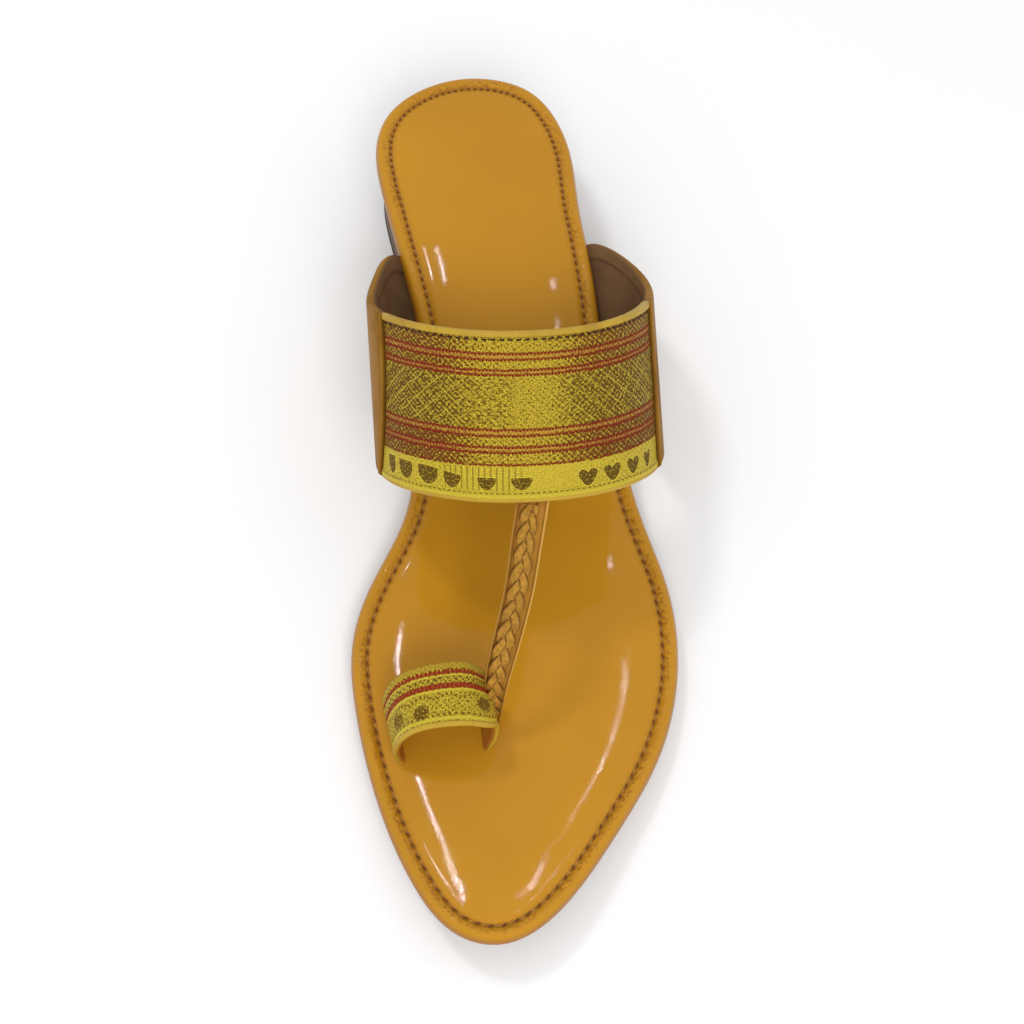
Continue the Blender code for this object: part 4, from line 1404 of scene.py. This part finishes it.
def make_camera():
    data = bpy.data.cameras.new("Camera")
    data.sensor_width = SENSOR
    data.lens = FOCAL_PIXELS / RENDER_PIXELS * SENSOR
    data.clip_start = 0.01
    camera = add_object("Camera", data)
    camera.matrix_world = look(EYE, AIM, EYE_BACK.cross(EYE_RIGHT))
    bpy.context.scene.camera = camera


def make_floor():
    mesh = bpy.data.meshes.new("floor")
    corners = [(x * FLOOR_HALF, y * FLOOR_HALF, 0.0) for x, y in ((-1, -1), (1, -1), (1, 1), (-1, 1))]
    mesh.from_pydata(corners, [], [(0, 1, 2, 3)])
    mesh.materials.append(floor_paper())
    floor = add_object("floor", mesh)


def make_lights():
    for lamp in LAMPS:
        data = bpy.data.lights.new(lamp.name, "AREA")
        data.shape = "RECTANGLE"
        data.size, data.size_y = lamp.size
        data.energy = lamp.energy
        light = add_object(lamp.name, data)
        light.visible_glossy = lamp.highlight
        light.visible_diffuse = not lamp.highlight
        light.matrix_world = look(Vector(lamp.place), Vector(), Vector((0, 1, 0)))
    world = bpy.data.worlds.new("Studio")
    world.use_nodes = True
    background = world.node_tree.nodes["Background"]
    background.inputs[0].default_value = (1.0, 1.0, 1.0, 1.0)
    background.inputs[1].default_value = SKY
    bpy.context.scene.world = world
    bpy.context.scene.view_settings.view_transform = "Standard"


# ---------------------------------------------------------------------- add-on


def size(name, words, default):
    limits = {"min": 0.0001, "precision": 5, "unit": "LENGTH"}
    return FloatProperty(name=name, description=words, default=default, **limits)


def colour(name, words, default):
    limits = {"min": 0.0, "max": 1.0, "size": 3, "subtype": "COLOR"}
    return FloatVectorProperty(name=name, description=words, default=default, **limits)


class SandalSizes(bpy.types.PropertyGroup):
    """Sizes that a user may change."""

    stitch_pitch: size("Stitch pitch", "From one stitch round the insole to the next, at its waist", 0.0027)
    stitch_length: size("Stitch length", "Length of a stitch round the insole, at its waist", 0.0013)
    stitch_width: size("Stitch width", "Width of a stitch round the insole", 0.00045)
    band_stitch_pitch: size("Band stitch pitch", "From one stitch beside the binding to the next", 0.0022)
    back_binding: size("Back binding", "Width of the leather on the band's back rim", 0.0016)
    plait_pitch: size("Plait pitch", "From one crossing of the plait to the next", 0.0051)
    strand_width: size("Strand width", "Width of each strip in the plait", 0.0027)
    strand_sway: size("Strand sway", "How far each strip swings from the plait's middle", 0.0014)


class SandalColours(bpy.types.PropertyGroup):
    """Colours that a user may change."""

    patent: colour("Patent", "Insole", (0.498, 0.230, 0.014))
    # Painted shade on the roll's outer side and underside, with the cut edge's darker tone.
    patent_edge_and_shade: colour("Patent edge", "Outer side of the insole's roll", (0.270, 0.095, 0.008))
    # Painted shade in the insole's groove and in the wrinkles beside it.
    patent_crease_shade: colour("Patent crease", "Insole's groove", (0.250, 0.095, 0.012))
    edge_thread: colour("Edge thread", "Stitches round the insole", (0.150, 0.055, 0.014))
    loop_thread: colour("Loop thread", "Loops between the stitches round the insole", (0.400, 0.195, 0.035))
    band_thread: colour("Band thread", "Stitches beside the back binding", (0.030, 0.008, 0.006))
    gold: colour("Gold", "Metallic thread", (0.450, 0.290, 0.018))
    # Used for the brocade's bright threads, and for the painted glints on its gold.
    bright_gold: colour("Bright gold", "Metallic thread that catches the light", (0.740, 0.580, 0.050))
    # Also used, darker, for the painted shade between the woven threads.
    brown: colour("Brown", "Ground of the brocade", (0.130, 0.058, 0.004))
    red: colour("Red", "Lines in the brocade", (0.230, 0.012, 0.006))
    orange: colour("Orange", "Between two red lines", (0.640, 0.250, 0.050))
    binding: colour("Binding", "Leather on the rims", (0.520, 0.340, 0.030))
    binding_dark: colour("Binding shade", "Worn leather on the rims", (0.340, 0.190, 0.018))
    side_leather: colour("Side leather", "Panels down the sides", (0.310, 0.142, 0.012))
    # Also used, darker, for the painted shade at the side panels' seams.
    side_leather_dark: colour("Side shade", "Worn leather down the sides", (0.200, 0.085, 0.008))
    lining: colour("Lining", "Suede inside the band", (0.145, 0.078, 0.034))
    strap: colour("Strap", "Strip under the plait", (0.420, 0.190, 0.022))
    # Also used for the strip's darker inner side, and, darker still, for the painted shade at the foot of its
    # lips.
    strap_dark: colour("Strap shade", "Worn strip under the plait", (0.270, 0.110, 0.012))
    # Painted highlight on the crests of the strip's lips.
    strap_lip_highlight: colour("Strap lip", "Edges of the strip under the plait", (0.640, 0.370, 0.080))
    plait: colour("Plait", "Strips of the plait", (0.450, 0.220, 0.030))
    # Painted shade on the strips' edges and undersides.
    plait_edge_shade: colour("Plait edge", "Edges of the strips", (0.100, 0.038, 0.006))
    loop_lining: colour("Loop lining", "Leather inside the toe loop", (0.380, 0.140, 0.012))
    loop_lining_dark: colour("Loop lining shade", "Worn leather inside the toe loop", (0.250, 0.080, 0.008))
    outsole: colour("Outsole", "Sole leather", (0.180, 0.085, 0.030))
    heel: colour("Heel", "Stacked layers", (0.150, 0.085, 0.042))
    top_piece: colour("Top piece", "Heel rubber", (0.030, 0.024, 0.020))
    floor: colour("Floor", "Paper under the sandal", (0.930, 0.930, 0.930))


class SANDAL_OT_camera(bpy.types.Operator):
    """Sets the camera at the photograph's angle"""

    bl_idname = "sandal.camera"
    bl_label = "Camera"

    def execute(self, context):
        make_camera()
        return {"FINISHED"}


class SANDAL_OT_insole(bpy.types.Operator):
    """Makes the patent insole and the stitches in its groove"""

    bl_idname = "sandal.insole"
    bl_label = "Insole"

    def execute(self, context):
        make_insole()
        make_insole_stitches()
        return {"FINISHED"}


class SANDAL_OT_outsole(bpy.types.Operator):
    """Makes the leather outsole"""

    bl_idname = "sandal.outsole"
    bl_label = "Outsole"

    def execute(self, context):
        make_outsole()
        return {"FINISHED"}


class SANDAL_OT_heel(bpy.types.Operator):
    """Makes the stacked heel and its top piece"""

    bl_idname = "sandal.heel"
    bl_label = "Heel"

    def execute(self, context):
        make_heel()
        make_top_piece()
        return {"FINISHED"}


class SANDAL_OT_band(bpy.types.Operator):
    """Makes the instep band's brocade and lining"""

    bl_idname = "sandal.band"
    bl_label = "Band"

    def execute(self, context):
        make_band_cloth()
        make_band_lining()
        return {"FINISHED"}


class SANDAL_OT_side_leather(bpy.types.Operator):
    """Makes the band's two side panels"""

    bl_idname = "sandal.side_leather"
    bl_label = "Side leather"

    def execute(self, context):
        make_side_leather()
        return {"FINISHED"}


class SANDAL_OT_bindings(bpy.types.Operator):
    """Makes the leather on the band's rims, and its stitches"""

    bl_idname = "sandal.bindings"
    bl_label = "Bindings"

    def execute(self, context):
        make_bindings()
        make_band_stitches()
        return {"FINISHED"}


class SANDAL_OT_middle_strap(bpy.types.Operator):
    """Makes the middle strap and its plait"""

    bl_idname = "sandal.middle_strap"
    bl_label = "Middle strap"

    def execute(self, context):
        make_middle_strap()
        make_plait()
        return {"FINISHED"}


class SANDAL_OT_toe_loop(bpy.types.Operator):
    """Makes the loop for the big toe"""

    bl_idname = "sandal.toe_loop"
    bl_label = "Toe loop"

    def execute(self, context):
        make_toe_loop()
        return {"FINISHED"}


class SANDAL_OT_stage(bpy.types.Operator):
    """Makes the floor and the lights"""

    bl_idname = "sandal.stage"
    bl_label = "Stage"

    def execute(self, context):
        make_floor()
        make_lights()
        return {"FINISHED"}


OPERATORS = (
    SANDAL_OT_camera,
    SANDAL_OT_insole,
    SANDAL_OT_outsole,
    SANDAL_OT_heel,
    SANDAL_OT_band,
    SANDAL_OT_side_leather,
    SANDAL_OT_bindings,
    SANDAL_OT_middle_strap,
    SANDAL_OT_toe_loop,
    SANDAL_OT_stage,
)


class SANDAL_PT_panel(bpy.types.Panel):
    """The sandal's operators, sizes and colours"""

    bl_label = "Kolhapuri sandal"
    bl_idname = "SANDAL_PT_panel"
    bl_space_type = "VIEW_3D"
    bl_region_type = "UI"
    bl_category = "Sandal"

    def draw(self, context):
        for cls in OPERATORS:
            self.layout.operator(cls.bl_idname)
        for settings in (context.scene.sandal_sizes, context.scene.sandal_colours):
            for name in type(settings).__annotations__:
                self.layout.prop(settings, name)


CLASSES = (SandalSizes, SandalColours, *OPERATORS, SANDAL_PT_panel)


def register():
    for cls in CLASSES:
        bpy.utils.register_class(cls)
    bpy.types.Scene.sandal_sizes = PointerProperty(type=SandalSizes)
    bpy.types.Scene.sandal_colours = PointerProperty(type=SandalColours)


def unregister():
    del bpy.types.Scene.sandal_sizes
    del bpy.types.Scene.sandal_colours
    for cls in reversed(CLASSES):
        bpy.utils.unregister_class(cls)


def main():
    for name in ("Cube", "Light", "Camera"):
        if name in bpy.data.objects:
            bpy.data.objects.remove(bpy.data.objects[name], do_unlink=True)
    register()
    for cls in OPERATORS:
        getattr(bpy.ops.sandal, cls.bl_idname.split(".")[1])()
    bpy.context.view_layer.update()


if __name__ == "__main__":
    main()
